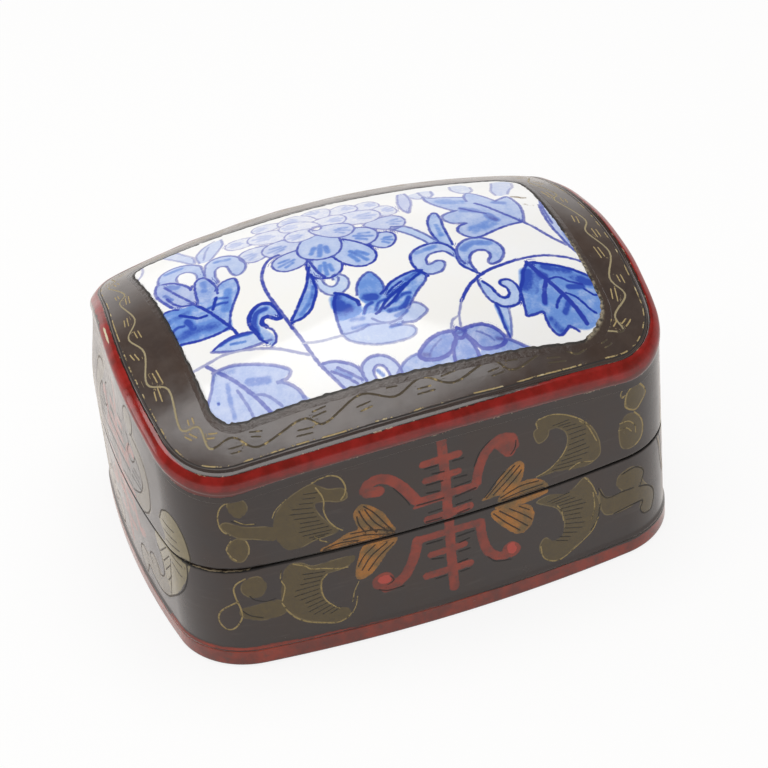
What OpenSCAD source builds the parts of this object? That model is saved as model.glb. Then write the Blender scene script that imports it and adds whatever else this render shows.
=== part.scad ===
// Seal paste box: a lacquered wooden box with a lift-off arched lid. A piece of blue and
// white porcelain is set in the lid, and a porcelain dish of seal paste stands inside.
// The origin is under the middle of the box, +Z is up and the front faces -Y.

/* [Box] */
// Length of the box over its bowed ends
box_w = 102; // [94:0.5:116]
// Depth of the box over its bowed front and back
box_d = 80; // [74:0.5:90]
// How far the front and the back bow out between the corners
bow_front = 4.2; // [2:0.1:6]
// How far the two ends bow out between the corners
bow_end = 3.5; // [2:0.1:6]
// Radius of the four upright corners
corner_r = 14.5; // [13.5:0.5:18]
// Height of the joint between base and lid
rim_z = 23; // [20:0.5:26]
// Height of the wooden top at its middle
crown_z = 58.5; // [55:0.5:64]
// Radius of the top's arch from front to back
arch_r = 69; // [62:1:84]
// Radius of the top's gentle arch from end to end
long_arch_r = 190; // [150:5:260]

/* [Wooden walls] */
// Thickness of the base's walls
wall_t = 5; // [4:0.1:6]
// Rounding of the edges that meet at the joint
joint_round = 0.4; // [0.2:0.1:0.8]
// Thickness of the bottom board
board_t = 3.6; // [3:0.1:5]
// Rounding of the bottom board's lower edge
board_round = 1.5; // [0.5:0.1:2]
// Rounding of the bottom board's upper edge
board_top_round = 0.3; // [0.1:0.1:0.6]

/* [Locating lip] */
// Thickness of the lining strips that form the lip
lip_t = 2; // [1.5:0.1:2.5]
// Height of the lip above the joint
lip_rise = 3.5; // [2.5:0.1:4.5]
// Running gap between the lip and the lid's walls
lip_gap = 0.35; // [0.2:0.05:0.6]
// Rounding of the lip's top edges
lip_round = 0.6; // [0.3:0.1:0.7]

/* [Lid top] */
// Thickness of the arched board
top_t = 5.2; // [4.6:0.1:6]
// Width of the rounded bead seen from above
bead_w = 2.2; // [1.8:0.1:4]
// Height of the bead
bead_h = 3.3; // [2.5:0.1:4]
// How far the bead stands out past the walls and over the top
bead_proud = 0.45; // [0.2:0.05:0.8]
// Glue gap between the bead and its rebate
bead_gap = 0.08; // [0.06:0.01:0.15]

/* [Porcelain piece] */
// Length of the piece from its left edge to its right edge
shard_w = 79; // [70:0.5:82]
// Depth of the piece along its left edge
shard_d = 57.5; // [50:0.5:60]
// How much lower the back edge is at the right end than at the left
shard_taper = 6.5; // [0:0.5:8]
// How much nearer the front edge is at the right end than at the left
shard_lean = 3.2; // [0:0.1:4]
// How far the piece sits to the right of the middle
shard_shift = 1; // [-2:0.5:2]
// Width of the wooden border in front of the piece at its left end
shard_border = 11; // [10:0.5:13]
// Thickness of the piece
shard_t = 3.4; // [2.5:0.1:4]
// How far the piece stands above the wooden border
shard_proud = 0.2; // [0.1:0.05:0.5]
// Bed of filler under the piece
shard_bed = 0.1; // [0.05:0.05:0.3]
// Width of the filler around the piece
filler_w = 1; // [0.6:0.1:1.6]

/* [Dish] */
// Gap between the dish and the lining strips
dish_gap = 0.5; // [0.3:0.1:1]
// Height of the dish
dish_h = 11.6; // [9:0.1:14]
// Thickness of the dish's wall
dish_wall = 2.4; // [2:0.1:3]
// Thickness of the dish's floor
dish_floor = 2.4; // [2:0.1:3]
// Rounding of the dish's rim
dish_rim_round = 1; // [0.6:0.1:1]
// Rounding of the dish's lower outer edge
dish_edge_round = 2; // [1.2:0.1:2.5]
// Rounding inside, where the wall meets the floor
dish_cove = 3; // [2:0.1:3.5]
// Width of the foot that the dish stands on
foot_w = 2.4; // [1.8:0.1:2.8]
// Height of the foot
foot_h = 0.8; // [0.5:0.1:1.2]

/* [Seal paste] */
// Depth of the paste at its middle
paste_h = 4; // [3:0.1:4.6]
// Radius of the paste's low crown
paste_crown_r = 460; // [300:10:800]
// Gap between the paste and the dish's wall
paste_gap = 0.15; // [0.1:0.05:0.4]

/* [Hidden] */
// Steps of a full circle: the small roundings, and the large arcs of the sides and the top
$fn = 72;
arc_fn = 720;

// Lengths by which cutting shapes overshoot what they cut
over = 1;

// Half sizes, and the radii of the bowed sides from their chord and their bow
half_w = box_w / 2;
half_d = box_d / 2;
front_r = (sq(half_w - bow_end) + sq(bow_front)) / (2 * bow_front);
end_r = (sq(half_d - bow_front) + sq(bow_end)) / (2 * bow_end);

// The sides in the order front, right end, back, left end
FRONT = 0;
RIGHT = 1;
BACK = 2;
LEFT = 3;
side_r = [front_r, end_r, front_r, end_r];
side_half = [half_d, half_w, half_d, half_w];

// A corner's centre is where the circles of its two sides, drawn in by its radius, cross.
// The corner's circle stands a hair past the sides' arcs, so that it crosses them cleanly.
corner_lap = 0.15;
front_in = front_r - corner_r + corner_lap;
end_in = end_r - corner_r + corner_lap;
front_centre = [0, front_r - half_d];
end_centre = [half_w - end_r, 0];
centre_span = norm(end_centre - front_centre);
along = (end_centre - front_centre) / centre_span;
to_foot = (sq(front_in) - sq(end_in) + sq(centre_span)) / (2 * centre_span);
to_side = sqrt(sq(front_in) - sq(to_foot));
corner_x = front_centre.x + to_foot * along.x - to_side * along.y;
corner_y = -(front_centre.y + to_foot * along.y + to_side * along.x);
corner_at = [[corner_x, -corner_y], [corner_x, corner_y], [-corner_x, corner_y], [-corner_x, -corner_y]];

// Half the angle that each side's arc spans, and the whole angle of a corner's arc
front_angle = asin(corner_x / front_in);
end_angle = asin(corner_y / end_in);
side_angle = [front_angle, end_angle, front_angle, end_angle];
side_in = [front_in, end_in, front_in, end_in];
corner_angle = 90 - front_angle - end_angle;

// How far a side's arc and a corner's arc each run on to where they cross
function side_lap(r, in) = acos((sq(in) + sq(r) - sq(corner_r)) / (2 * in * r));
function corner_lap_angle(r, in) = 180 - acos((sq(in) + sq(corner_r) - sq(r)) / (2 * in * corner_r));
side_reach = [for (side = [FRONT:LEFT]) side_angle[side] + side_lap(side_r[side], side_in[side])];
corner_from = [for (side = [FRONT:LEFT]) side_angle[side] + corner_lap_angle(side_r[side], side_in[side])];

// Heights
lip_top_z = rim_z + lip_rise;
dish_rim_z = board_t + dish_h;
dish_floor_z = board_t + foot_h + dish_floor;

// How far each face is drawn in from the walls' outer face
lip_in = wall_t + lip_t;
dish_in = lip_in + dish_gap;
cavity_in = dish_in + dish_wall;
foot_in = dish_in + dish_edge_round + foot_w;

// Corners of the porcelain piece and the radii that round them, from the front left
shard_left = shard_shift - shard_w / 2;
shard_right = shard_shift + shard_w / 2;
shard_front = shard_border - half_d;
shard_back = shard_front + shard_d;
shard_points = [
    [shard_left + 0.8, shard_front],
    [shard_shift, shard_front - 0.75 * shard_lean],
    [shard_right - 1.5, shard_front - shard_lean],
    [shard_right, shard_back - shard_taper],
    [shard_shift, shard_back - 0.35 * shard_taper],
    [shard_left, shard_back]
];
shard_rounds = [5, 160, 9, 6, 160, 4];

// Steps of the bead's sweep along a side, round a corner, and over and under its section
side_steps = 16;
corner_steps = 10;
over_steps = 8;
under_steps = 3;

function sq(x) = x * x;
function unit(v) = v / norm(v);
function facing(side) = 90 * side - 90;
function spoke(angle) = [cos(angle), sin(angle)];

// Height of the arched top over a point p, drawn in by a depth square to the surface
function top_z(p, depth) =
    let (across = arch_r - long_arch_r + sqrt(sq(long_arch_r - depth) - sq(p.x)))
    crown_z - arch_r + sqrt(sq(across) - sq(p.y));

// A closed outline whose corners are rounded by arcs
function rounded(points, rounds, steps = 6) = [
    for (i = [0:len(points) - 1])
        let (
            here = points[i],
            back = unit(points[(i + len(points) - 1) % len(points)] - here),
            ahead = unit(points[(i + 1) % len(points)] - here),
            half = acos(back * ahead) / 2,
            centre = here + unit(back + ahead) * rounds[i] / sin(half),
            from = here + back * rounds[i] / tan(half) - centre,
            start = atan2(from.y, from.x)
        )
        for (s = [0:steps])
            centre + rounds[i] * spoke(start + (180 - 2 * half) * s / steps)
];

// The same corners with every side moved out by a distance
function grown(points, d) = [
    for (i = [0:len(points) - 1])
        let (
            here = points[i],
            before = unit(here - points[(i + len(points) - 1) % len(points)]),
            after = unit(points[(i + 1) % len(points)] - here),
            n1 = [before.y, -before.x],
            n2 = [after.y, -after.x]
        )
        here + d * (n1 + n2) / (1 + n1 * n2)
];

// Stops around the outline, each with its arc's centre, radius and angle
stops = [
    for (i = [0:3]) each concat(
        [for (s = [0:side_steps - 1]) [
            (side_half[i] - side_r[i]) * spoke(facing(i)),
            side_r[i],
            facing(i) + side_reach[i] * (2 * s / side_steps - 1)
        ]],
        [for (s = [0:corner_steps - 1]) [
            corner_at[i],
            corner_r,
            facing(i) + corner_from[i] + (90 - corner_from[i] - corner_from[(i + 1) % 4]) * s / corner_steps
        ]]
    )
];
function inset_point(stop, inset) = stop[0] + (stop[1] - inset) * spoke(stop[2]);

// Skin of a ring swept through rows of points: rows on from each other, columns round the section
function ring_faces(rows, cols) = [
    for (i = [0:rows - 1], j = [0:cols - 1])
        let (
            a = i * cols + j,
            b = i * cols + (j + 1) % cols,
            c = (i + 1) % rows * cols + (j + 1) % cols,
            d = (i + 1) % rows * cols + j
        )
        each [[a, b, c], [a, c, d]]
];

// The sliver between the corner of a profile and a quarter round inside it. It is cut off to
// round the corner of a solid, or added to a hollow to round the edge of what surrounds it.
module corner_sliver(corner, inward, r)
    difference() {
        translate(corner - [inward.x < 0 ? r : over, inward.y < 0 ? r : over])
            square(r + over);
        translate(corner + inward * r)
            circle(r, $fn = 72);
    }

// A turned disc of radius r from z0 to z1, with its bottom and top edges rounded. A flare
// widens it towards the height flare_z by a quarter round.
module disc(r, z0, z1, bottom, top, flare, flare_z)
    rotate_extrude($fn = r > 2 * corner_r ? arc_fn : 2 * $fn) {
        difference() {
            translate([0, z0])
                square([r, z1 - z0]);
            if (bottom > 0)
                corner_sliver([r, z0], [-1, 1], bottom);
            if (top > 0)
                corner_sliver([r, z1], [-1, -1], top);
        }
        if (flare > 0)
            corner_sliver([r, flare_z], [1, -1], flare);
    }

// A slab with the box's outline, drawn in by an inset: what the four large discs of the
// bowed sides share with a cross, whose four notches the small discs of the corners fill
module slab(inset, z0, z1, bottom = 0, top = 0, flare = 0, flare_z = 0)
    intersection() {
        intersection_for (side = [FRONT:LEFT])
            rotate(facing(side))
                translate([side_half[side] - side_r[side], 0])
                    disc(side_r[side] - inset, z0, z1, bottom, top, flare, flare_z);
        union() {
            for (arm = [[corner_x, half_d + over], [half_w + over, corner_y]])
                translate([-arm.x, -arm.y, z0 - over])
                    cube([2 * arm.x, 2 * arm.y, z1 - z0 + 2 * over]);
            for (centre = corner_at)
                translate(centre)
                    disc(corner_r - inset, z0, z1, bottom, top, flare, flare_z);
        }
    }

// The share of the box that belongs to one side, between mitres through the corners
module side_share(side) {
    before = corner_at[(side + 3) % 4];
    after = corner_at[side];
    mitre = side_angle[side] + corner_angle / 2;
    reach = 2 * corner_r;
    linear_extrude(crown_z)
        polygon([
            before,
            before + reach * spoke(facing(side) - mitre),
            after + reach * spoke(facing(side) + mitre),
            after
        ]);
}

// Everything under the arched top drawn in by a depth: an arc turned about the long axis
module under_arch(depth)
    translate([0, 0, crown_z - arch_r])
        rotate([0, 90, 0])
            rotate_extrude($fn = arc_fn / 2)
                intersection() {
                    translate([arch_r - long_arch_r, 0])
                        circle(long_arch_r - depth, $fn = arc_fn);
                    translate([0, -half_w - bead_proud - over])
                        square([arch_r + over, 2 * (half_w + bead_proud + over)]);
                }

// A column with the porcelain piece's outline, grown by a distance
module shard_column(growth)
    translate([0, 0, rim_z])
        linear_extrude(crown_z - rim_z + over)
            polygon(rounded(grown(shard_points, growth), [for (r = shard_rounds) r + growth]));

module bottom_board()
    color("#8c3a30")
        slab(0, 0, board_t, bottom = board_round, top = board_top_round);

module base_wall(side)
    color("#2a2522")
        intersection() {
            difference() {
                slab(0, board_t, rim_z, top = joint_round);
                slab(wall_t, board_t - over, rim_z + over);
            }
            side_share(side);
        }

module lip(side)
    color("#1f1a18")
        intersection() {
            difference() {
                slab(wall_t, board_t, lip_top_z, top = lip_round);
                slab(lip_in, board_t - over, lip_top_z + over, flare = lip_round, flare_z = lip_top_z);
            }
            side_share(side);
        }

module lid_wall(side)
    color("#2a2522")
        intersection() {
            difference() {
                slab(0, rim_z, crown_z, bottom = joint_round);
                slab(wall_t - lip_gap, rim_z - over, crown_z + over);
            }
            side_share(side);
            under_arch(top_t);
        }

module lid_top_board()
    color("#2a2522")
        difference() {
            union() {
                intersection() {
                    slab(bead_w, rim_z, crown_z + over);
                    under_arch(0);
                }
                intersection() {
                    slab(0, rim_z, crown_z + over);
                    under_arch(bead_h);
                }
            }
            under_arch(top_t);
            difference() {
                shard_column(filler_w);
                under_arch(shard_t - shard_proud + shard_bed);
            }
        }

// The bead's section as pairs of inset and depth. It is flat inside and below, where it
// lies in the rebate. A squared-off quarter round goes over it to the outside, and a small
// quarter round leads back under to the wall.
bead_in = bead_w - bead_gap;
bead_low = bead_h - bead_gap;
bead_under = 0.3 * bead_h;
bead_section = concat(
    [[bead_in, bead_low]],
    [for (s = [0:over_steps])
        let (t = 90 * s / over_steps)
        [
            bead_in - (bead_in + bead_proud) * pow(sin(t), 0.8),
            bead_low - bead_under - (bead_low - bead_under + bead_proud) * pow(cos(t), 0.8)
        ]],
    [for (s = [1:under_steps])
        let (t = 90 * s / under_steps)
        [bead_proud * (1 - cos(t)) - bead_proud, bead_low - bead_under + bead_under * sin(t)]]
);

module rim_bead()
    color("#8f2c24")
        polyhedron(
            points = [
                for (stop = stops, s = bead_section)
                    let (p = inset_point(stop, s[0]))
                    [p.x, p.y, top_z(p, s[1])]
            ],
            faces = ring_faces(len(stops), len(bead_section)),
            convexity = 6
        );

module porcelain_shard()
    color("#dfe6f5")
        difference() {
            intersection() {
                shard_column(0);
                under_arch(-shard_proud);
            }
            under_arch(shard_t - shard_proud);
        }

module shard_filler()
    color("#b9ad95")
        difference() {
            intersection() {
                shard_column(filler_w);
                under_arch(0);
            }
            under_arch(shard_t - shard_proud + shard_bed);
            difference() {
                shard_column(0);
                under_arch(shard_t - shard_proud);
            }
        }

module paste_dish()
    color("#eef0ee")
        difference() {
            slab(dish_in, board_t, dish_rim_z, bottom = dish_edge_round, top = dish_rim_round);
            slab(
                cavity_in, dish_floor_z, dish_rim_z + over,
                bottom = dish_cove, flare = dish_rim_round, flare_z = dish_rim_z
            );
            slab(foot_in, board_t - over, board_t + foot_h);
        }

module seal_paste()
    color("#c0231c")
        intersection() {
            slab(cavity_in + paste_gap, dish_floor_z, dish_floor_z + paste_h, bottom = dish_cove);
            translate([0, 0, dish_floor_z + paste_h - paste_crown_r])
                rotate_extrude()
                    intersection() {
                        circle(paste_crown_r, $fn = arc_fn);
                        square([half_w, paste_crown_r + over]);
                    }
        }

bottom_board();
base_wall(FRONT);  // base_front_wall
base_wall(RIGHT);  // base_right_wall
base_wall(BACK);  // base_back_wall
base_wall(LEFT);  // base_left_wall
lip(FRONT);  // lip_front
lip(RIGHT);  // lip_right
lip(BACK);  // lip_back
lip(LEFT);  // lip_left
lid_wall(FRONT);  // lid_front_wall
lid_wall(RIGHT);  // lid_right_wall
lid_wall(BACK);  // lid_back_wall
lid_wall(LEFT);  // lid_left_wall
lid_top_board();
rim_bead();
porcelain_shard();
shard_filler();
paste_dish();
seal_paste();
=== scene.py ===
"""Seal paste box, dressed for the camera.

The box is black lacquered wood with red lacquered edges. A piece of blue and white porcelain is
let into the arched lid, and a glazed dish of seal paste stands inside. Lengths inside the script
are millimetres and become metres where a mesh is made. A place on the walls is given as u, the
length along the outer face from the middle of the front, and its height.
"""

import math

import bpy
import numpy as np
from bpy.props import FloatProperty, FloatVectorProperty
from mathutils import Matrix


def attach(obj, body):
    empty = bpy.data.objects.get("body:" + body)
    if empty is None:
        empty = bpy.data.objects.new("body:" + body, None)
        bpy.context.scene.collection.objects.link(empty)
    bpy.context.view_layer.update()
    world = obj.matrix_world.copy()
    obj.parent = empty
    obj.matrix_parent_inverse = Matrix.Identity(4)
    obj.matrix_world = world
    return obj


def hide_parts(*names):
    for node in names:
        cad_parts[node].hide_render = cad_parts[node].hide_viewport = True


bl_info = {
    "name": "Seal paste box",
    "version": (1, 0, 0),
    "blender": (4, 5, 0),
    "location": "View3D > Sidebar > Seal box",
    "description": "Lacquered seal paste box with a porcelain piece in its arched lid",
    "category": "Add Mesh",
}

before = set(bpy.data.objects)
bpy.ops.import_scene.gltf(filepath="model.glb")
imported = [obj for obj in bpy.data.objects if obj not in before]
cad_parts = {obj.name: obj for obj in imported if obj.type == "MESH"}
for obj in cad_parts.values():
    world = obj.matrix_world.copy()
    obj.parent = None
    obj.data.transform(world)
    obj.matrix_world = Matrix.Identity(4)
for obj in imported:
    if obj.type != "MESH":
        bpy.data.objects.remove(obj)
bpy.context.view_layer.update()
MM = 0.001


def linear(code):
    """Linear colour of an sRGB hex code: each channel c becomes c / 12.92 up to 0.04045, and
    ((c + 0.055) / 1.055) to the power 2.4 above it."""
    values = [int(code[i:i + 2], 16) / 255 for i in (1, 3, 5)]
    return tuple(c / 12.92 if c <= 0.04045 else ((c + 0.055) / 1.055) ** 2.4 for c in values)


def length(name, text, value):
    """A length property whose default is given in millimetres."""
    return FloatProperty(name=name, description=text, default=value * MM, unit="LENGTH", precision=5)


def colour(name, text, code):
    """A colour property whose default is given as an sRGB hex code."""
    return FloatVectorProperty(
        name=name, description=text, default=linear(code), subtype="COLOR", min=0, max=1
    )


def ease(value, low, high):
    """A smooth step of a value from 0 at low to 1 at high: t * t * (3 - 2 * t)."""
    t = np.clip((value - low) / (high - low), 0, 1)
    return t * t * (3 - 2 * t)


def bell(value, middle, width):
    """A bell of height 1 over a middle: e to the power of minus the square of the steps away."""
    return np.exp(-((value - middle) / width) ** 2)


class SEALBOX_PG_sizes(bpy.types.PropertyGroup):
    """Sizes of the box. The defaults are the driving values of its solids."""

    box_w: length("Length", "Length of the box over its bowed ends", 102)
    box_d: length("Depth", "Depth of the box over its bowed front and back", 80)
    bow_front: length("Front bow", "How far the front and the back bow out", 4.2)
    bow_end: length("End bow", "How far the two ends bow out", 3.5)
    corner_r: length("Corner radius", "Radius of the upright corners", 14.5)
    rim_z: length("Joint height", "Height of the joint between base and lid", 23)
    crown_z: length("Crown height", "Height of the wooden top at its middle", 58.5)
    arch_r: length("Arch radius", "Radius of the top from front to back", 69)
    long_arch_r: length("Long arch radius", "Radius of the top from end to end", 190)
    wall_t: length("Wall thickness", "Thickness of the base's walls", 5)
    lid_wall_t: length("Lid wall thickness", "Thickness of the lid's walls", 4.65)
    joint_round: length("Joint rounding", "Rounding of the edges that meet at the joint", 0.4)
    board_t: length("Board thickness", "Thickness of the bottom board", 3.6)
    board_round: length("Board rounding", "Rounding of the bottom board's lower edge", 1.5)
    top_t: length("Top thickness", "Thickness of the arched board", 5.2)
    bead_w: length("Bead width", "Width of the rounded bead seen from above", 2.2)
    bead_h: length("Bead height", "Height of the bead", 3.3)
    shard_t: length("Porcelain thickness", "Thickness of the porcelain piece", 3.4)
    shard_proud: length("Porcelain stand", "How far the piece stands above the border", 0.2)
    filler_w: length("Filler width", "Width of the filler around the piece", 1)
    paste_top: length("Paste height", "Height of the paste's crown above the table", 10.8)


class SEALBOX_PG_colours(bpy.types.PropertyGroup):
    """Colours of the finishes."""

    black: colour("Black lacquer", "Aged black lacquer", "#382d29")
    red: colour("Red lacquer", "Red lacquer of the ornament and the foot", "#a2381f")
    bead: colour("Bead red", "Red lacquer of the bead", "#96201a")
    gold: colour("Incised gold", "Gold rubbed into incised lines", "#ab9562")
    ochre: colour("Ochre", "Ochre lacquer of the leaves", "#b0701e")
    olive: colour("Olive", "Olive lacquer of the fans", "#54441d")
    glaze: colour("Glaze", "White glaze of the porcelain", "#eef0f4")
    cobalt: colour("Cobalt", "Full strength cobalt under the glaze", "#3450b0")
    paste: colour("Seal paste", "Cinnabar paste", "#b3231a")


class Plan:
    """The outline and the arch of the box in millimetres, worked out from its sizes."""

    def __init__(self, sizes):
        for key in SEALBOX_PG_sizes.__annotations__:
            setattr(self, key, getattr(sizes, key) / MM)
        half_w = self.box_w / 2
        half_d = self.box_d / 2
        # A bowed side is an arc over its chord: radius = (half chord^2 + bow^2) / (2 * bow)
        front_r = ((half_w - self.bow_end) ** 2 + self.bow_front ** 2) / (2 * self.bow_front)
        end_r = ((half_d - self.bow_front) ** 2 + self.bow_end ** 2) / (2 * self.bow_end)
        front_at = np.array([0, front_r - half_d])
        end_at = np.array([half_w - end_r, 0])
        span = end_at - front_at
        gap = math.hypot(*span)
        # A corner's arc touches both sides from within, so its centre is where two circles cross:
        # those about the sides' centres, smaller than the sides' arcs by the corner's radius
        front_in = front_r - self.corner_r
        end_in = end_r - self.corner_r
        foot = (front_in ** 2 - end_in ** 2 + gap ** 2) / (2 * gap)
        side = math.sqrt(front_in ** 2 - foot ** 2)
        way = span / gap
        x = foot * way[0] - side * way[1]
        y = -(front_at[1] + foot * way[1] + side * way[0])
        a = math.asin(x / front_in)
        b = math.asin(y / end_in)
        quarter = math.pi / 2
        # Each arc has its centre's x and y, its radius, and the angles where it starts and stops
        rows = [
            (0, front_at[1], front_r, -quarter, -quarter + a),
            (x, -y, self.corner_r, -quarter + a, -b),
            (end_at[0], 0, end_r, -b, b),
            (x, y, self.corner_r, b, quarter - a),
            (0, -front_at[1], front_r, quarter - a, quarter + a),
            (-x, y, self.corner_r, quarter + a, 2 * quarter - b),
            (-end_at[0], 0, end_r, 2 * quarter - b, 2 * quarter + b),
            (-x, -y, self.corner_r, 2 * quarter + b, 3 * quarter - a),
            (0, front_at[1], front_r, 3 * quarter - a, 3 * quarter),
        ]
        self.arcs = np.array(rows)
        lengths = self.arcs[:, 2] * (self.arcs[:, 4] - self.arcs[:, 3])
        self.starts = np.concatenate([[0], np.cumsum(lengths)])
        self.around = self.starts[-1]

    def at(self, u, inset):
        """Points of the outline drawn in by an inset. Each lies on its arc, at
        centre + (radius - inset) * direction, and its direction is the outward normal."""
        u = np.mod(u, self.around)
        arc = np.clip(np.searchsorted(self.starts, u, side="right") - 1, 0, len(self.arcs) - 1)
        cx, cy, radius, start, _ = self.arcs[arc].T
        angle = start + (u - self.starts[arc]) / radius
        reach = radius - inset
        return cx + reach * np.cos(angle), cy + reach * np.sin(angle)

    def settle(self, points):
        """Points of the lid moved as its wood has settled: out of square at the back, drawn in by
        up to 2.1 mm at the left end and 0.9 mm at the right end. Each move is the product of
        smooth steps along x, y and z, and fades to nothing at the joint and at the porcelain."""
        x, y, z = points[..., 0], points[..., 1], points[..., 2]
        rise = ease(z, 27, 45)
        left = 2.1 * ease(-x, 40.5, 49) * ease(y, -20, 22) * rise
        right = 0.9 * ease(x, 42, 49) * ease(y, -30, 12) * rise
        moved = points.copy()
        moved[..., 0] += left - right
        return moved

    def top_z(self, x, y, depth):
        """Height of the top drawn in by a depth: an arc of the long radius turned about the
        long axis, so z = crown - arch + sqrt((arch - long + sqrt((long - depth)^2 - x^2))^2 - y^2)."""
        across = self.arch_r - self.long_arch_r + np.sqrt((self.long_arch_r - depth) ** 2 - x ** 2)
        return self.crown_z - self.arch_r + np.sqrt(across ** 2 - y ** 2)

    def on_top(self, flat, depth):
        """Points of the top drawn in by a depth, over places seen from above."""
        return np.concatenate([flat, self.top_z(flat[:, 0], flat[:, 1], depth)[:, None]], 1)

    def columns(self, count):
        """Even lengths along the outline, for the columns of a surface."""
        return np.arange(count) * self.around / count


def ring(plan, u, rows):
    """A surface swept along the outline: rows of (inset, height) make an array of points. A height
    may be a number, an array over u, or ("depth", d) for the top's surface drawn in by d."""
    made = []
    for inset, height in rows:
        x, y = plan.at(u, inset)
        if isinstance(height, tuple):
            height = plan.top_z(x, y, height[1])
        made.append(np.stack([x, y, np.broadcast_to(height, x.shape)], -1))
    return np.stack(made)


def quarter_round(inset, height, r, turn, steps=5):
    """Rows of a quarter round of radius r from one flat face to the next. turn is the quarter in
    which its middle lies as seen from its centre: "up" leads from the wall to a face above, "down"
    from a face below to the wall."""
    t = np.linspace(0, math.pi / 2, steps + 1)
    if turn == "up":
        return [(inset + r - r * math.cos(s), height - r + r * math.sin(s)) for s in t]
    return [(inset + r - r * math.sin(s), height + r - r * math.cos(s)) for s in t]


def grid_faces(rows, cols, wrap_rows, wrap_cols):
    """Quads between neighbouring rows and columns of a grid of points."""
    r = np.arange(rows if wrap_rows else rows - 1)[:, None]
    c = np.arange(cols if wrap_cols else cols - 1)[None, :]
    r2 = (r + 1) % rows
    c2 = (c + 1) % cols
    corners = [r * cols + c, r * cols + c2, r2 * cols + c2, r2 * cols + c]
    return np.stack(np.broadcast_arrays(*corners), -1).reshape(-1, 4)


def make_piece(name, points, quads, triangles, body, material, layers=(), replaced=()):
    """A mesh object from points in millimetres, quads and triangles, with a vector attribute for
    each layer. It rides on a body and stands for the nodes that it replaces."""
    mesh = bpy.data.meshes.new(name)
    mesh.vertices.add(len(points))
    mesh.vertices.foreach_set("co", (points * MM).astype(np.float32).ravel())
    triangles = np.zeros((0, 3), int) if triangles is None else triangles
    loops = np.concatenate([quads.ravel(), triangles.ravel()]).astype(np.int32)
    starts = np.concatenate([np.arange(len(quads)) * 4, len(quads) * 4 + np.arange(len(triangles)) * 3])
    mesh.loops.add(len(loops))
    mesh.loops.foreach_set("vertex_index", loops)
    mesh.polygons.add(len(starts))
    mesh.polygons.foreach_set("loop_start", starts.astype(np.int32))
    mesh.polygons.foreach_set("use_smooth", np.ones(len(starts), bool))
    mesh.update(calc_edges=True)
    for key, values in dict(layers).items():
        layer = mesh.attributes.new(key, "FLOAT_VECTOR", "POINT")
        layer.data.foreach_set("vector", np.ascontiguousarray(values, np.float32).ravel())
    mesh.materials.append(material)
    piece = bpy.data.objects.new(name, mesh)
    bpy.context.scene.collection.objects.link(piece)
    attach(piece, body)
    if replaced:
        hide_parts(*replaced)
    return piece


def closed_skin(surface, wrap_rows):
    """Points and faces of a surface of rows that close around. Without wrapped rows its first and
    last row are drawn together into one point each, the poles."""
    rows, cols, _ = surface.shape
    points = surface.reshape(-1, 3)
    if wrap_rows:
        return points, grid_faces(rows, cols, True, True), None
    quads = grid_faces(rows, cols, False, True)
    poles = np.stack([surface[0].mean(0), surface[-1].mean(0)])
    first = len(points)
    c = np.arange(cols)
    c2 = (c + 1) % cols
    last = (rows - 1) * cols
    fans = np.concatenate([
        np.stack([np.full(cols, first), c2, c], -1),
        np.stack([np.full(cols, first + 1), last + c, last + c2], -1),
    ])
    return np.concatenate([points, poles]), quads, fans


# The setting that chooses what a node of a kind does
MODES = {
    "Math": "operation", "VectorMath": "operation", "Mix": "data_type",
    "MapRange": "interpolation_type",
}


def node_adder(holder):
    """A function that adds nodes to the emptied tree of a material or a world."""
    holder.use_nodes = True
    tree = holder.node_tree
    tree.nodes.clear()

    def add(kind, *values, out=0, **settings):
        """Add a shader node, set its mode and its properties, and give back one of its outputs,
        by name or by number among those in use. After the mode come its inputs in order, counting
        those in use, or a dictionary of them by name. Each is a value, or a socket to link."""
        made = tree.nodes.new("ShaderNode" + kind)
        if kind in MODES:
            settings[MODES[kind]], *values = values
        for key, value in settings.items():
            setattr(made, key, value)
        if values and isinstance(values[0], dict):
            pairs = [(made.inputs[key], value) for key, value in values[0].items()]
        else:
            pairs = zip([socket for socket in made.inputs if socket.enabled], values)
        for socket, value in pairs:
            if isinstance(value, bpy.types.NodeSocket):
                tree.links.new(value, socket)
            else:
                socket.default_value = value
        if isinstance(out, str):
            return made.outputs[out]
        used = [socket for socket in made.outputs if socket.enabled]
        return used[out] if used else None

    return add


def rgba(value):
    """An sRGB hex code or a colour property as linear red, green, blue and alpha."""
    if isinstance(value, str):
        value = linear(value)
    return (*value, 1)


def layer_parts(add, name):
    """The three parts of a vector layer of the mesh."""
    layer = add("Attribute", out="Vector", attribute_name=name)
    return add("SeparateXYZ", layer).node.outputs


def line_paint(add, name, wander, soft):
    """Share of the lines' paint at a point, 1 within a line's half width of its middle and 0 beyond
    it, with an edge that wanders with a noise, and the two values of that line's look."""
    shares = []
    looks = []
    for end in ("", "_b"):
        parts = layer_parts(add, name + end)
        flat = add("CombineXYZ", parts[0], parts[1])
        away = add("VectorMath", "LENGTH", flat)
        inside = add("Math", "ADD", add("Math", "SUBTRACT", parts[2], away), wander)
        shares.append(add("MapRange", "SMOOTHSTEP", inside, -soft, soft))
        looks.append(add("Attribute", out="Vector", attribute_name=name + end + "_look"))
    second = add("Math", "GREATER_THAN", shares[1], shares[0])
    look = add("Mix", "VECTOR", second, looks[0], looks[1])
    parts = add("SeparateXYZ", look).node.outputs
    return add("Math", "MAXIMUM", shares[0], shares[1]), parts[0], parts[1]


def black_coat(add, place, colours):
    """Black lacquer, browned in patches about 9 mm across."""
    browned = add("MapRange", "SMOOTHSTEP", add("TexNoise", place, 1 / (9 * MM), 4), 0.35, 0.7)
    return add("Mix", "RGBA", browned, rgba(colours.black), rgba("#3b2c24"))


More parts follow.
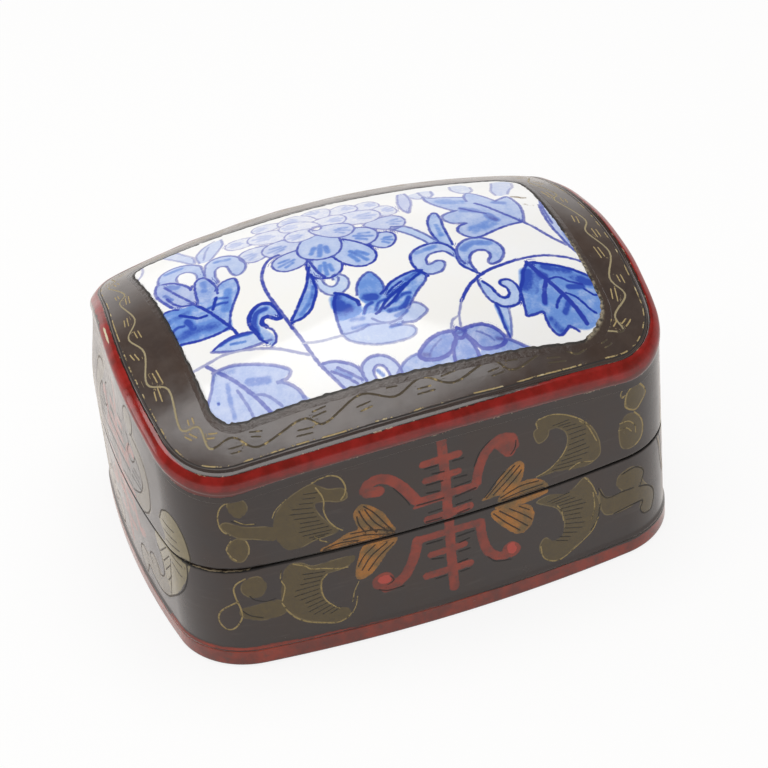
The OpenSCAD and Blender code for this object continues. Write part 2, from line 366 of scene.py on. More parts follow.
def painted_lacquer(colours):
    """Black lacquer over wood, painted with coloured lacquers and incised with fine lines.

    The film is brushed on level by level and polished by use, so it mirrors softly and shows faint
    streaks along the walls. The coloured lacquers are thin, lie a hair proud and let the black
    through. The incised lines are matt and still hold gold where nothing rubs them. Edges that
    grind against each other are chipped down to the pale ground. The level top is painted greyer,
    a painted sheen of the light from above, and the lacquer beside the lid's joint and under the
    foot's edge is painted near black, a painted shade.
    """
    add = node_adder(bpy.data.materials.new("black lacquer, brushed and incised"))
    place = add("TexCoord", out="Object")
    # Brush streaks: a noise 1.1 mm high and 8 mm long
    drawn = add("Mapping", {"Vector": place, "Scale": (0.13, 0.13, 1)})
    brush = add("TexNoise", drawn, 1 / (1.1 * MM), 4, 0.6)
    # Fine dust and scuffs of half a millimetre
    dust = add("TexNoise", place, 1 / (0.5 * MM), 3, 0.6)
    ragged = add(
        "MapRange", "LINEAR", add("TexNoise", place, 1 / (0.8 * MM), 4, 0.65), 0.25, 0.75, -0.16, 0.16
    )
    fine = add("MapRange", "LINEAR", add("TexNoise", place, 1 / (0.4 * MM), 2), 0.25, 0.75, -0.04, 0.04)
    base = black_coat(add, place, colours)
    base = add(
        "Mix", "RGBA", add("MapRange", "SMOOTHSTEP", brush, 0.55, 0.8, 0, 0.35), base, rgba("#574d47")
    )
    # The level top is painted greyer the more it faces up, in scuffed patches: a painted sheen of the
    # light from above
    facing = add("NewGeometry", out="Normal")
    level = add("SeparateXYZ", facing, out=2)
    scuffs = add(
        "MapRange", "SMOOTHSTEP", add("TexNoise", place, 1 / (5 * MM), 6, 0.65), 0.3, 0.7, 0, 0.22
    )
    top_sheen_and_scuffs = add(
        "Math", "MULTIPLY", add("MapRange", "SMOOTHSTEP", level, 0.55, 0.9),
        add("Math", "ADD", scuffs, 0.12),
    )
    base = add("Mix", "RGBA", top_sheen_and_scuffs, base, rgba("#665a52"))
    depths = layer_parts(add, "paint")
    more = layer_parts(add, "paint_more")
    streaks = add("TexNoise", place, 1 / (1.3 * MM), 3)
    cloud = add("TexNoise", place, 1 / (3.6 * MM), 3)
    rubbed = add("TexNoise", place, 1 / (0.6 * MM), 4, 0.7)

    def inside(depth):
        return add("MapRange", "SMOOTHSTEP", add("Math", "ADD", depth, ragged), -0.05, 0.09)

    # Olive, cream, ochre and red over one another, each worn through in places
    olive = add("Mix", "RGBA", streaks, rgba(colours.olive), rgba("#6a5722"))
    worn_olive = add(
        "Math", "MULTIPLY", inside(depths[2]), add("MapRange", "SMOOTHSTEP", rubbed, 0.05, 0.5, 0, 0.74)
    )
    skin = add("Mix", "RGBA", worn_olive, base, olive)
    # Each olive shape is outlined with a gold line that comes and goes
    rim = add("Math", "ABSOLUTE", add("Math", "ADD", depths[2], fine))
    rim = add("Math", "SUBTRACT", 1.0, add("MapRange", "SMOOTHSTEP", rim, 0.07, 0.17))
    rim = add(
        "Math", "MULTIPLY", rim,
        add("MapRange", "SMOOTHSTEP", add("TexNoise", place, 1 / (4.5 * MM), 3), 0.38, 0.56, 0, 0.6),
    )
    skin = add("Mix", "RGBA", rim, skin, rgba("#8b7849"))
    cream = add("Mix", "RGBA", streaks, rgba("#7c7050"), rgba("#93855f"))
    skin = add("Mix", "RGBA", add("Math", "MULTIPLY", inside(more[1]), 0.85), skin, cream)
    ochre = add(
        "Mix", "RGBA", add("MapRange", "SMOOTHSTEP", cloud, 0.35, 0.65), rgba("#75592a"),
        rgba(colours.ochre),
    )
    worn_ochre = add(
        "Math", "MULTIPLY", inside(depths[1]), add("MapRange", "SMOOTHSTEP", rubbed, 0.05, 0.4, 0, 0.95)
    )
    skin = add("Mix", "RGBA", worn_ochre, skin, ochre)
    red = add(
        "Mix", "RGBA", add("MapRange", "SMOOTHSTEP", cloud, 0.3, 0.7), rgba("#7c3021"),
        rgba(colours.red),
    )
    red = add(
        "Mix", "RGBA", add("MapRange", "SMOOTHSTEP", streaks, 0.5, 0.75, 0, 0.5), red, rgba("#5a3a30")
    )
    worn_red = add(
        "Math", "MULTIPLY", inside(depths[0]), add("MapRange", "SMOOTHSTEP", rubbed, 0.04, 0.46, 0, 0.9)
    )
    skin = add("Mix", "RGBA", worn_red, skin, red)
    # The brush leaves a darker, thicker rim where a stroke ends
    rim = add("MapRange", "SMOOTHSTEP", add("Math", "ABSOLUTE", depths[0]), 0.0, 0.22)
    rim = add("Math", "MULTIPLY", worn_red, add("Math", "SUBTRACT", 1.0, rim))
    skin = add("Mix", "RGBA", add("Math", "MULTIPLY", rim, 0.5), skin, rgba("#4a1813"))
    skin = add("Mix", "RGBA", inside(more[0]), skin, rgba("#bd4334"))
    # Dark lines: incised lines, the joint of wall and board, and along the lid's joint a painted shade of
    # the gap
    cut, _, _ = line_paint(add, "cut", fine, 0.05)
    cut = add("Math", "MULTIPLY", cut, add("MapRange", "SMOOTHSTEP", rubbed, 0.12, 0.4, 0, 0.85))
    skin = add("Mix", "RGBA", cut, skin, rgba("#1a120f"))
    # Incised lines: a dull groove, and gold where the noise and the line's look leave it. A line
    # whose tint is 1 is broken into short pieces.
    groove, kept, broken = line_paint(add, "gold", fine, 0.05)
    flecks = add("TexNoise", place, 1 / (1.5 * MM), 4, 0.7)
    left = add("Math", "ADD", flecks, add("Math", "MULTIPLY", kept, 0.45))
    left = add("MapRange", "SMOOTHSTEP", left, 0.62, 0.74)
    pieces = add("MapRange", "SMOOTHSTEP", add("TexNoise", place, 1 / (3.0 * MM), 4, 0.7), 0.5, 0.54)
    shown = add("Math", "MAXIMUM", pieces, add("Math", "SUBTRACT", 1.0, broken))
    gold = add(
        "Mix", "RGBA", add("MapRange", "SMOOTHSTEP", kept, 0.9, 0.98), rgba(colours.gold),
        rgba("#9d8f6b"),
    )
    gold_line = add("Mix", "RGBA", left, rgba("#463b26"), gold)
    bright = add("Math", "MULTIPLY", add("MapRange", "SMOOTHSTEP", flecks, 0.58, 0.66, 0, 0.7), broken)
    gold_line = add("Mix", "RGBA", bright, gold_line, rgba("#cfc19c"))
    groove = add("Math", "MULTIPLY", groove, shown)
    skin = add("Mix", "RGBA", add("Math", "MULTIPLY", groove, 0.92), skin, gold_line)
    # Chips where an edge is rubbed: the layer rises to 1 at the edge
    edge = add("Math", "ADD", more[2], add("TexNoise", place, 1 / (1.6 * MM), 5, 0.75))
    chipped = add("MapRange", "SMOOTHSTEP", edge, 1.42, 1.5)
    # The same layer darkens the lacquer to near black and matt: painted shade of the gap at the joint and
    # under the foot's edge, and a rubbed spot on the top
    rub_and_shade = add("MapRange", "SMOOTHSTEP", more[2], 0.35, 0.9, 0, 0.9)
    skin = add("Mix", "RGBA", rub_and_shade, skin, rgba("#0f0b09"))
    skin = add("Mix", "RGBA", chipped, skin, rgba("#a8977a"))
    height = add("Math", "MULTIPLY", add("TexNoise", place, 1 / (2.6 * MM), 3), 0.5)
    height = add("Math", "ADD", height, add("Math", "MULTIPLY", brush, 0.35))
    height = add("Math", "ADD", height, add("Math", "MULTIPLY", dust, 0.12))
    height = add("Math", "ADD", height, add("Math", "MULTIPLY", worn_red, 0.3))
    height = add("Math", "ADD", height, add("Math", "MULTIPLY", worn_ochre, 0.3))
    height = add("Math", "SUBTRACT", height, add("Math", "MULTIPLY", cut, 0.9))
    height = add("Math", "SUBTRACT", height, add("Math", "MULTIPLY", groove, 0.8))
    height = add("Math", "SUBTRACT", height, add("Math", "MULTIPLY", chipped, 1.2))
    bump = add("Bump", {"Height": height, "Distance": 0.06 * MM, "Strength": 0.55})
    gloss = add("MapRange", "SMOOTHSTEP", add("TexNoise", place, 1 / (4 * MM), 5, 0.6), 0.3, 0.75)
    rough = add("Math", "ADD", add("Math", "MULTIPLY", gloss, 0.12), 0.16)
    matt = add(
        "Math", "MAXIMUM", add("Math", "MAXIMUM", cut, groove), add("Math", "MAXIMUM", chipped, rub_and_shade)
    )
    rough = add("Math", "ADD", rough, add("Math", "MULTIPLY", matt, 0.55))
    shader = add(
        "BsdfPrincipled",
        {
            "Base Color": skin, "Roughness": rough, "IOR": 1.5, "Normal": bump, "Sheen Weight": 0.55,
            "Sheen Roughness": 0.28, "Sheen Tint": rgba("#fff0e4"),
        },
    )
    add("OutputMaterial", shader)


def bead_lacquer(colours):
    """Red lacquer brushed round the edge of the lid, over and under the black: glossy and uneven,
    darker where it has pooled, browned by handling in bruises, browned further down its outer face
    as a painted reflection of the floor, chipped to the pale ground in a few places. The layer gives
    chips, bruises with that painted reflection, and the depth inside the red band in millimetres."""
    add = node_adder(bpy.data.materials.new("red lacquer, brushed"))
    place = add("TexCoord", out="Object")
    ragged = add(
        "MapRange", "LINEAR", add("TexNoise", place, 1 / (1.1 * MM), 4, 0.65), 0.25, 0.75, -0.14, 0.14
    )
    pooled = add("TexNoise", place, 1 / (3.5 * MM), 5, 0.6)
    fine = add("TexNoise", place, 1 / (0.7 * MM), 4, 0.7)
    red = add(
        "Mix", "RGBA", add("MapRange", "SMOOTHSTEP", pooled, 0.3, 0.7), rgba("#74180f"),
        rgba(colours.bead),
    )
    wear_and_reflection = layer_parts(add, "wear_and_reflection")
    depth = add("Math", "ADD", wear_and_reflection[2], ragged)
    band = add("MapRange", "SMOOTHSTEP", depth, -0.05, 0.1)
    skin = add("Mix", "RGBA", band, black_coat(add, place, colours), red)
    # The red browns in bruises and down the bead's outer face, there a painted reflection of the floor;
    # specks of the pale ground lie along the edge of the red
    lower = add(
        "Math", "ADD", wear_and_reflection[1],
        add(
            "MapRange", "LINEAR", add("TexNoise", place, 1 / (2.6 * MM), 4, 0.65), 0.25, 0.75, -0.25,
            0.25,
        ),
    )
    lower = add("Math", "MULTIPLY", add("MapRange", "SMOOTHSTEP", lower, 0.35, 0.85, 0, 0.75), band)
    skin = add("Mix", "RGBA", lower, skin, rgba("#5d2a21"))
    seam = add(
        "Math", "SUBTRACT", 1.0,
        add("MapRange", "SMOOTHSTEP", add("Math", "ABSOLUTE", depth), 0.05, 0.14),
    )
    specks = add("MapRange", "SMOOTHSTEP", add("TexNoise", place, 1 / (1.8 * MM), 4, 0.75), 0.56, 0.62)
    line = add("Mix", "RGBA", specks, rgba("#1d1411"), rgba("#a3937a"))
    skin = add("Mix", "RGBA", add("Math", "MULTIPLY", seam, 0.7), skin, line)
    edge = add("Math", "ADD", wear_and_reflection[0], add("TexNoise", place, 1 / (1.1 * MM), 5, 0.75))
    chipped = add("MapRange", "SMOOTHSTEP", edge, 1.3, 1.38)
    skin = add("Mix", "RGBA", chipped, skin, rgba("#c9bd9c"))
    height = add(
        "Math", "ADD", add("TexNoise", place, 1 / (2.4 * MM), 3), add("Math", "MULTIPLY", fine, 0.15)
    )
    height = add("Math", "SUBTRACT", height, chipped)
    bump = add("Bump", {"Height": height, "Distance": 0.09 * MM, "Strength": 0.6})
    rough = add("Math", "ADD", add("Math", "MULTIPLY", pooled, 0.14), 0.12)
    shader = add(
        "BsdfPrincipled",
        {
            "Base Color": skin, "Roughness": rough, "IOR": 1.5, "Normal": bump, "Sheen Weight": 0.55,
            "Sheen Roughness": 0.28, "Sheen Tint": rgba("#fff0e4"),
        },
    )
    add("OutputMaterial", shader)


def painted_porcelain(colours):
    """Porcelain painted with cobalt under a clear glaze and fired: a hard white gloss. The washes
    pool darker at their edges, the outlines swell and thin, and both shift from blue to violet."""
    add = node_adder(bpy.data.materials.new("blue and white porcelain, glazed"))
    place = add("TexCoord", out="Object")
    cloud = add("TexNoise", place, 1 / (2.6 * MM), 4, 0.6)
    grain = add("TexNoise", place, 1 / (0.45 * MM), 3, 0.6)
    white = add(
        "Mix", "RGBA", add("TexNoise", place, 1 / (16 * MM), 3), rgba(colours.glaze), rgba("#efebe2")
    )
    wash = layer_parts(add, "wash")
    strength = add("Math", "MULTIPLY", wash[0], add("MapRange", "SMOOTHSTEP", cloud, -0.3, 0.8, 0, 1.2))
    strength = add("Math", "ADD", strength, add("MapRange", "LINEAR", grain, 0.25, 0.75, -0.05, 0.05))
    present = add("MapRange", "SMOOTHSTEP", wash[0], 0.02, 0.14)
    strength = add("Math", "MULTIPLY", strength, present)
    pale = add("Mix", "RGBA", wash[1], rgba("#b9c9e6"), rgba("#bdbedb"))
    middle = add("Mix", "RGBA", wash[1], rgba("#6c92d4"), rgba("#7f8ac6"))
    full = add("Mix", "RGBA", wash[1], rgba(colours.cobalt), rgba("#4a3f8c"))
    skin = add("Mix", "RGBA", add("MapRange", "SMOOTHSTEP", strength, 0.0, 0.24), white, pale)
    skin = add("Mix", "RGBA", add("MapRange", "SMOOTHSTEP", strength, 0.2, 0.56), skin, middle)
    skin = add("Mix", "RGBA", add("MapRange", "SMOOTHSTEP", strength, 0.5, 0.98), skin, full)
    ink, load, violet = line_paint(
        add, "ink",
        add("MapRange", "LINEAR", add("TexNoise", place, 1 / (0.8 * MM), 3), 0.25, 0.75, -0.09, 0.09),
        0.13,
    )
    loaded = add("MapRange", "SMOOTHSTEP", add("TexNoise", place, 1 / (1.6 * MM), 4, 0.6), 0.15, 0.6)
    loaded = add("Math", "ADD", add("Math", "MULTIPLY", loaded, 0.32), 0.78)
    ink = add("Math", "MULTIPLY", ink, add("Math", "MULTIPLY", load, loaded))
    blue = add("Mix", "RGBA", violet, rgba("#2039a2"), rgba("#474eae"))
    skin = add("Mix", "RGBA", ink, skin, blue)
    ragged = add("Math", "MULTIPLY", add("TexNoise", place, 1 / (0.9 * MM), 5, 0.8), 0.9)
    chips = add("MapRange", "SMOOTHSTEP", add("Math", "ADD", wash[2], ragged), 0.95, 1.15)
    skin = add("Mix", "RGBA", chips, skin, rgba("#8d7a5e"))
    height = add(
        "Math", "SUBTRACT", add("TexNoise", place, 1 / (7 * MM), 2), add("Math", "MULTIPLY", chips, 0.6)
    )
    bump = add("Bump", {"Height": height, "Distance": 0.1 * MM, "Strength": 0.4})
    rough = add("Math", "ADD", add("Math", "MULTIPLY", chips, 0.5), 0.1)
    shader = add(
        "BsdfPrincipled",
        {"Base Color": skin, "Roughness": rough, "Specular IOR Level": 0.35, "Normal": bump},
    )
    add("OutputMaterial", shader)


def rough_filler(colours):
    """Lacquer putty pressed in round the porcelain and lacquered over with the border, lightened as
    the border's level top is, a painted sheen. Its cut-back inner edge is dark and rough: dark putty,
    and a painted shade of the step down to the porcelain, with the cream ground bare in places. The
    layer says where that is, and how far a point is across the ridge."""
    add = node_adder(bpy.data.materials.new("lacquer putty, trimmed"))
    place = add("TexCoord", out="Object")
    bare = layer_parts(add, "bare")
    lumps = add("TexNoise", place, 1 / (0.9 * MM), 5, 0.7)
    # The coat is lightened a fifth towards grey like the border's level top: a painted sheen
    coat = add("Mix", "RGBA", 0.2, black_coat(add, place, colours), rgba("#665a52"))
    # The inner edge is dark: dark putty, and a painted shade of the step down to the porcelain
    trimmed_and_shaded = add("Mix", "RGBA", lumps, rgba("#15100d"), rgba("#33291f"))
    across = add("Math", "ADD", bare[1], add("MapRange", "LINEAR", lumps, 0.25, 0.75, -0.12, 0.12))
    out = add("MapRange", "SMOOTHSTEP", across, 0.22, 0.42)
    skin = add("Mix", "RGBA", out, trimmed_and_shaded, coat)
    pale = add(
        "Mix", "RGBA", add("TexNoise", place, 1 / (0.7 * MM), 4, 0.7), rgba("#5d523d"), rgba("#c9bb9e")
    )
    share = add(
        "MapRange", "SMOOTHSTEP", add("Math", "ADD", bare[0], add("Math", "MULTIPLY", lumps, 0.8)),
        0.78, 0.98,
    )
    share = add(
        "Math", "MULTIPLY", share,
        add("Math", "SUBTRACT", 1.0, add("MapRange", "SMOOTHSTEP", across, 0.3, 0.5)),
    )
    skin = add("Mix", "RGBA", share, skin, pale)
    bump = add("Bump", {"Height": lumps, "Distance": 0.15 * MM, "Strength": 0.6})
    rough = add("Math", "SUBTRACT", 0.55, add("Math", "MULTIPLY", out, 0.35))
    shader = add("BsdfPrincipled", {"Base Color": skin, "Roughness": rough, "IOR": 1.5, "Normal": bump})
    add("OutputMaterial", shader)


def plain_finish(name, base, second, size, rough, lump, depth, coat=0.0):
    """A plain finish of two close colours in patches of a size, with lumps of a size and a depth,
    all in millimetres."""
    add = node_adder(bpy.data.materials.new(name))
    place = add("TexCoord", out="Object")
    skin = add("Mix", "RGBA", add("TexNoise", place, 1 / (size * MM), 4, 0.6), rgba(base), rgba(second))
    height = add("TexNoise", place, 1 / (lump * MM), 4, 0.6)
    bump = add("Bump", {"Height": height, "Distance": depth * MM, "Strength": 0.6})
    shader = add(
        "BsdfPrincipled",
        {"Base Color": skin, "Roughness": rough, "IOR": 1.5, "Coat Weight": coat, "Normal": bump},
    )
    add("OutputMaterial", shader)


def seen_rays(add):
    """The Light Path's sockets, and 1 for rays from the camera, a mirror or glass."""
    rays = add("LightPath").node.outputs
    seen = add("Math", "MAXIMUM", rays["Is Camera Ray"], rays["Is Glossy Ray"])
    return rays, add("Math", "MAXIMUM", seen, rays["Is Transmission Ray"])


def lights_and_floor(scene):
    """A pale floor, soft lamps and a white surround."""
    world = bpy.data.worlds.new("studio surround")
    scene.world = world
    add = node_adder(world)
    rays, seen = seen_rays(add)
    strength = add("MapRange", "LINEAR", {"Value": seen, "To Min": 0.42, "To Max": 1.0})
    # A mirror sees the white sweep low down and the dark room above it
    way = add("TexCoord", out="Generated")
    upward = add("SeparateXYZ", way, out=2)
    dark = add("MapRange", "SMOOTHSTEP", upward, 0.12, 0.55, 1.0, 0.1)
    mirrored = add("Mix", "FLOAT", rays["Is Glossy Ray"], 1.0, dark)
    strength = add("Math", "MULTIPLY", strength, mirrored)
    background = add("Background", {"Color": (1, 1, 1, 1), "Strength": strength})
    add("OutputWorld", background)

    material = bpy.data.materials.new("matt white paper sweep")
    add = node_adder(material)
    _, seen = seen_rays(add)
    paper = add("BsdfDiffuse", {"Color": rgba("#f4f2ef")})
    glow = add("Emission", {"Color": (1, 1, 1, 1), "Strength": 1.0})
    share = add("Math", "MULTIPLY", seen, 0.86)
    mixed = add("MixShader", share, paper, glow)
    add("OutputMaterial", mixed)
    # The floor reaches 3 m each way and lies a tenth of a millimetre under the box
    size = 3.0
    low = -0.1 * MM
    corners = [(-size, -size, low), (size, -size, low), (size, size, low), (-size, size, low)]
    mesh = bpy.data.meshes.new("floor")
    mesh.from_pydata(corners, [], [(0, 1, 2, 3)])
    mesh.materials.append(material)
    floor = bpy.data.objects.new("floor", mesh)
    scene.collection.objects.link(floor)

    # Each lamp's name, place, width in metres and power in watts
    lamps = [
        ("softbox_above", (0.02, 0.01, 0.66), 0.45, 2.7),
        ("softbox_left", (-0.60, 0.25, 0.30), 0.35, 1.2),
    ]
    for name, place, width, power in lamps:
        lamp = bpy.data.lights.new(name, "AREA")
        lamp.size = width
        lamp.energy = power
        holder = bpy.data.objects.new(name, lamp)
        scene.collection.objects.link(holder)
        back = np.array(place) - [0, 0, 0.03]
        back, side, up = looking(back / np.linalg.norm(back))
        turn = Matrix(np.stack([side, up, back], 1).tolist()).to_4x4()
        turn.translation = place
        holder.matrix_world = turn


def looking(back):
    """The backward, sideways and upward directions of a lamp or camera with a level horizon."""
    side = np.cross([0, 0, 1], back)
    side = side / np.linalg.norm(side)
    return back, side, np.cross(back, side)


def place_camera(scene):
    """The camera stands where the photograph was taken: 522.51 mm from a point 28 mm up the box's
    axis, 16 degrees to the left of its front and 36 degrees up, rolled by 6 degrees."""
    turn = math.radians(-16.380)
    rise = math.radians(36.034)
    roll = math.radians(-5.879)
    aim = np.array([0, 0, 0.028])
    distance = 0.52251
    back = np.array([math.sin(turn) * math.cos(rise), -math.cos(turn) * math.cos(rise), math.sin(rise)])
    back, side, up = looking(back)
    right = side * math.cos(roll) + up * math.sin(roll)
    above = up * math.cos(roll) - side * math.sin(roll)
    camera = bpy.data.cameras.new("camera")
    camera.lens = 126.19
    camera.sensor_width = 36
    camera.shift_x = 0.01683
    camera.shift_y = -0.00190
    camera.clip_start = 0.01
    holder = bpy.data.objects.new("camera", camera)
    matrix = Matrix(np.stack([right, above, back], 1).tolist()).to_4x4()
    matrix.translation = (aim + back * distance).tolist()
    holder.matrix_world = matrix
    scene.collection.objects.link(holder)
    scene.camera = holder


class SEALBOX_OT_stage(bpy.types.Operator):
    """Set up the camera, the floor and the lamps"""

    bl_idname = "sealbox.stage"
    bl_label = "Stage"

    def execute(self, context):
        scene = context.scene
        scene.view_settings.view_transform = "Standard"
        place_camera(scene)
        lights_and_floor(scene)
        return {"FINISHED"}
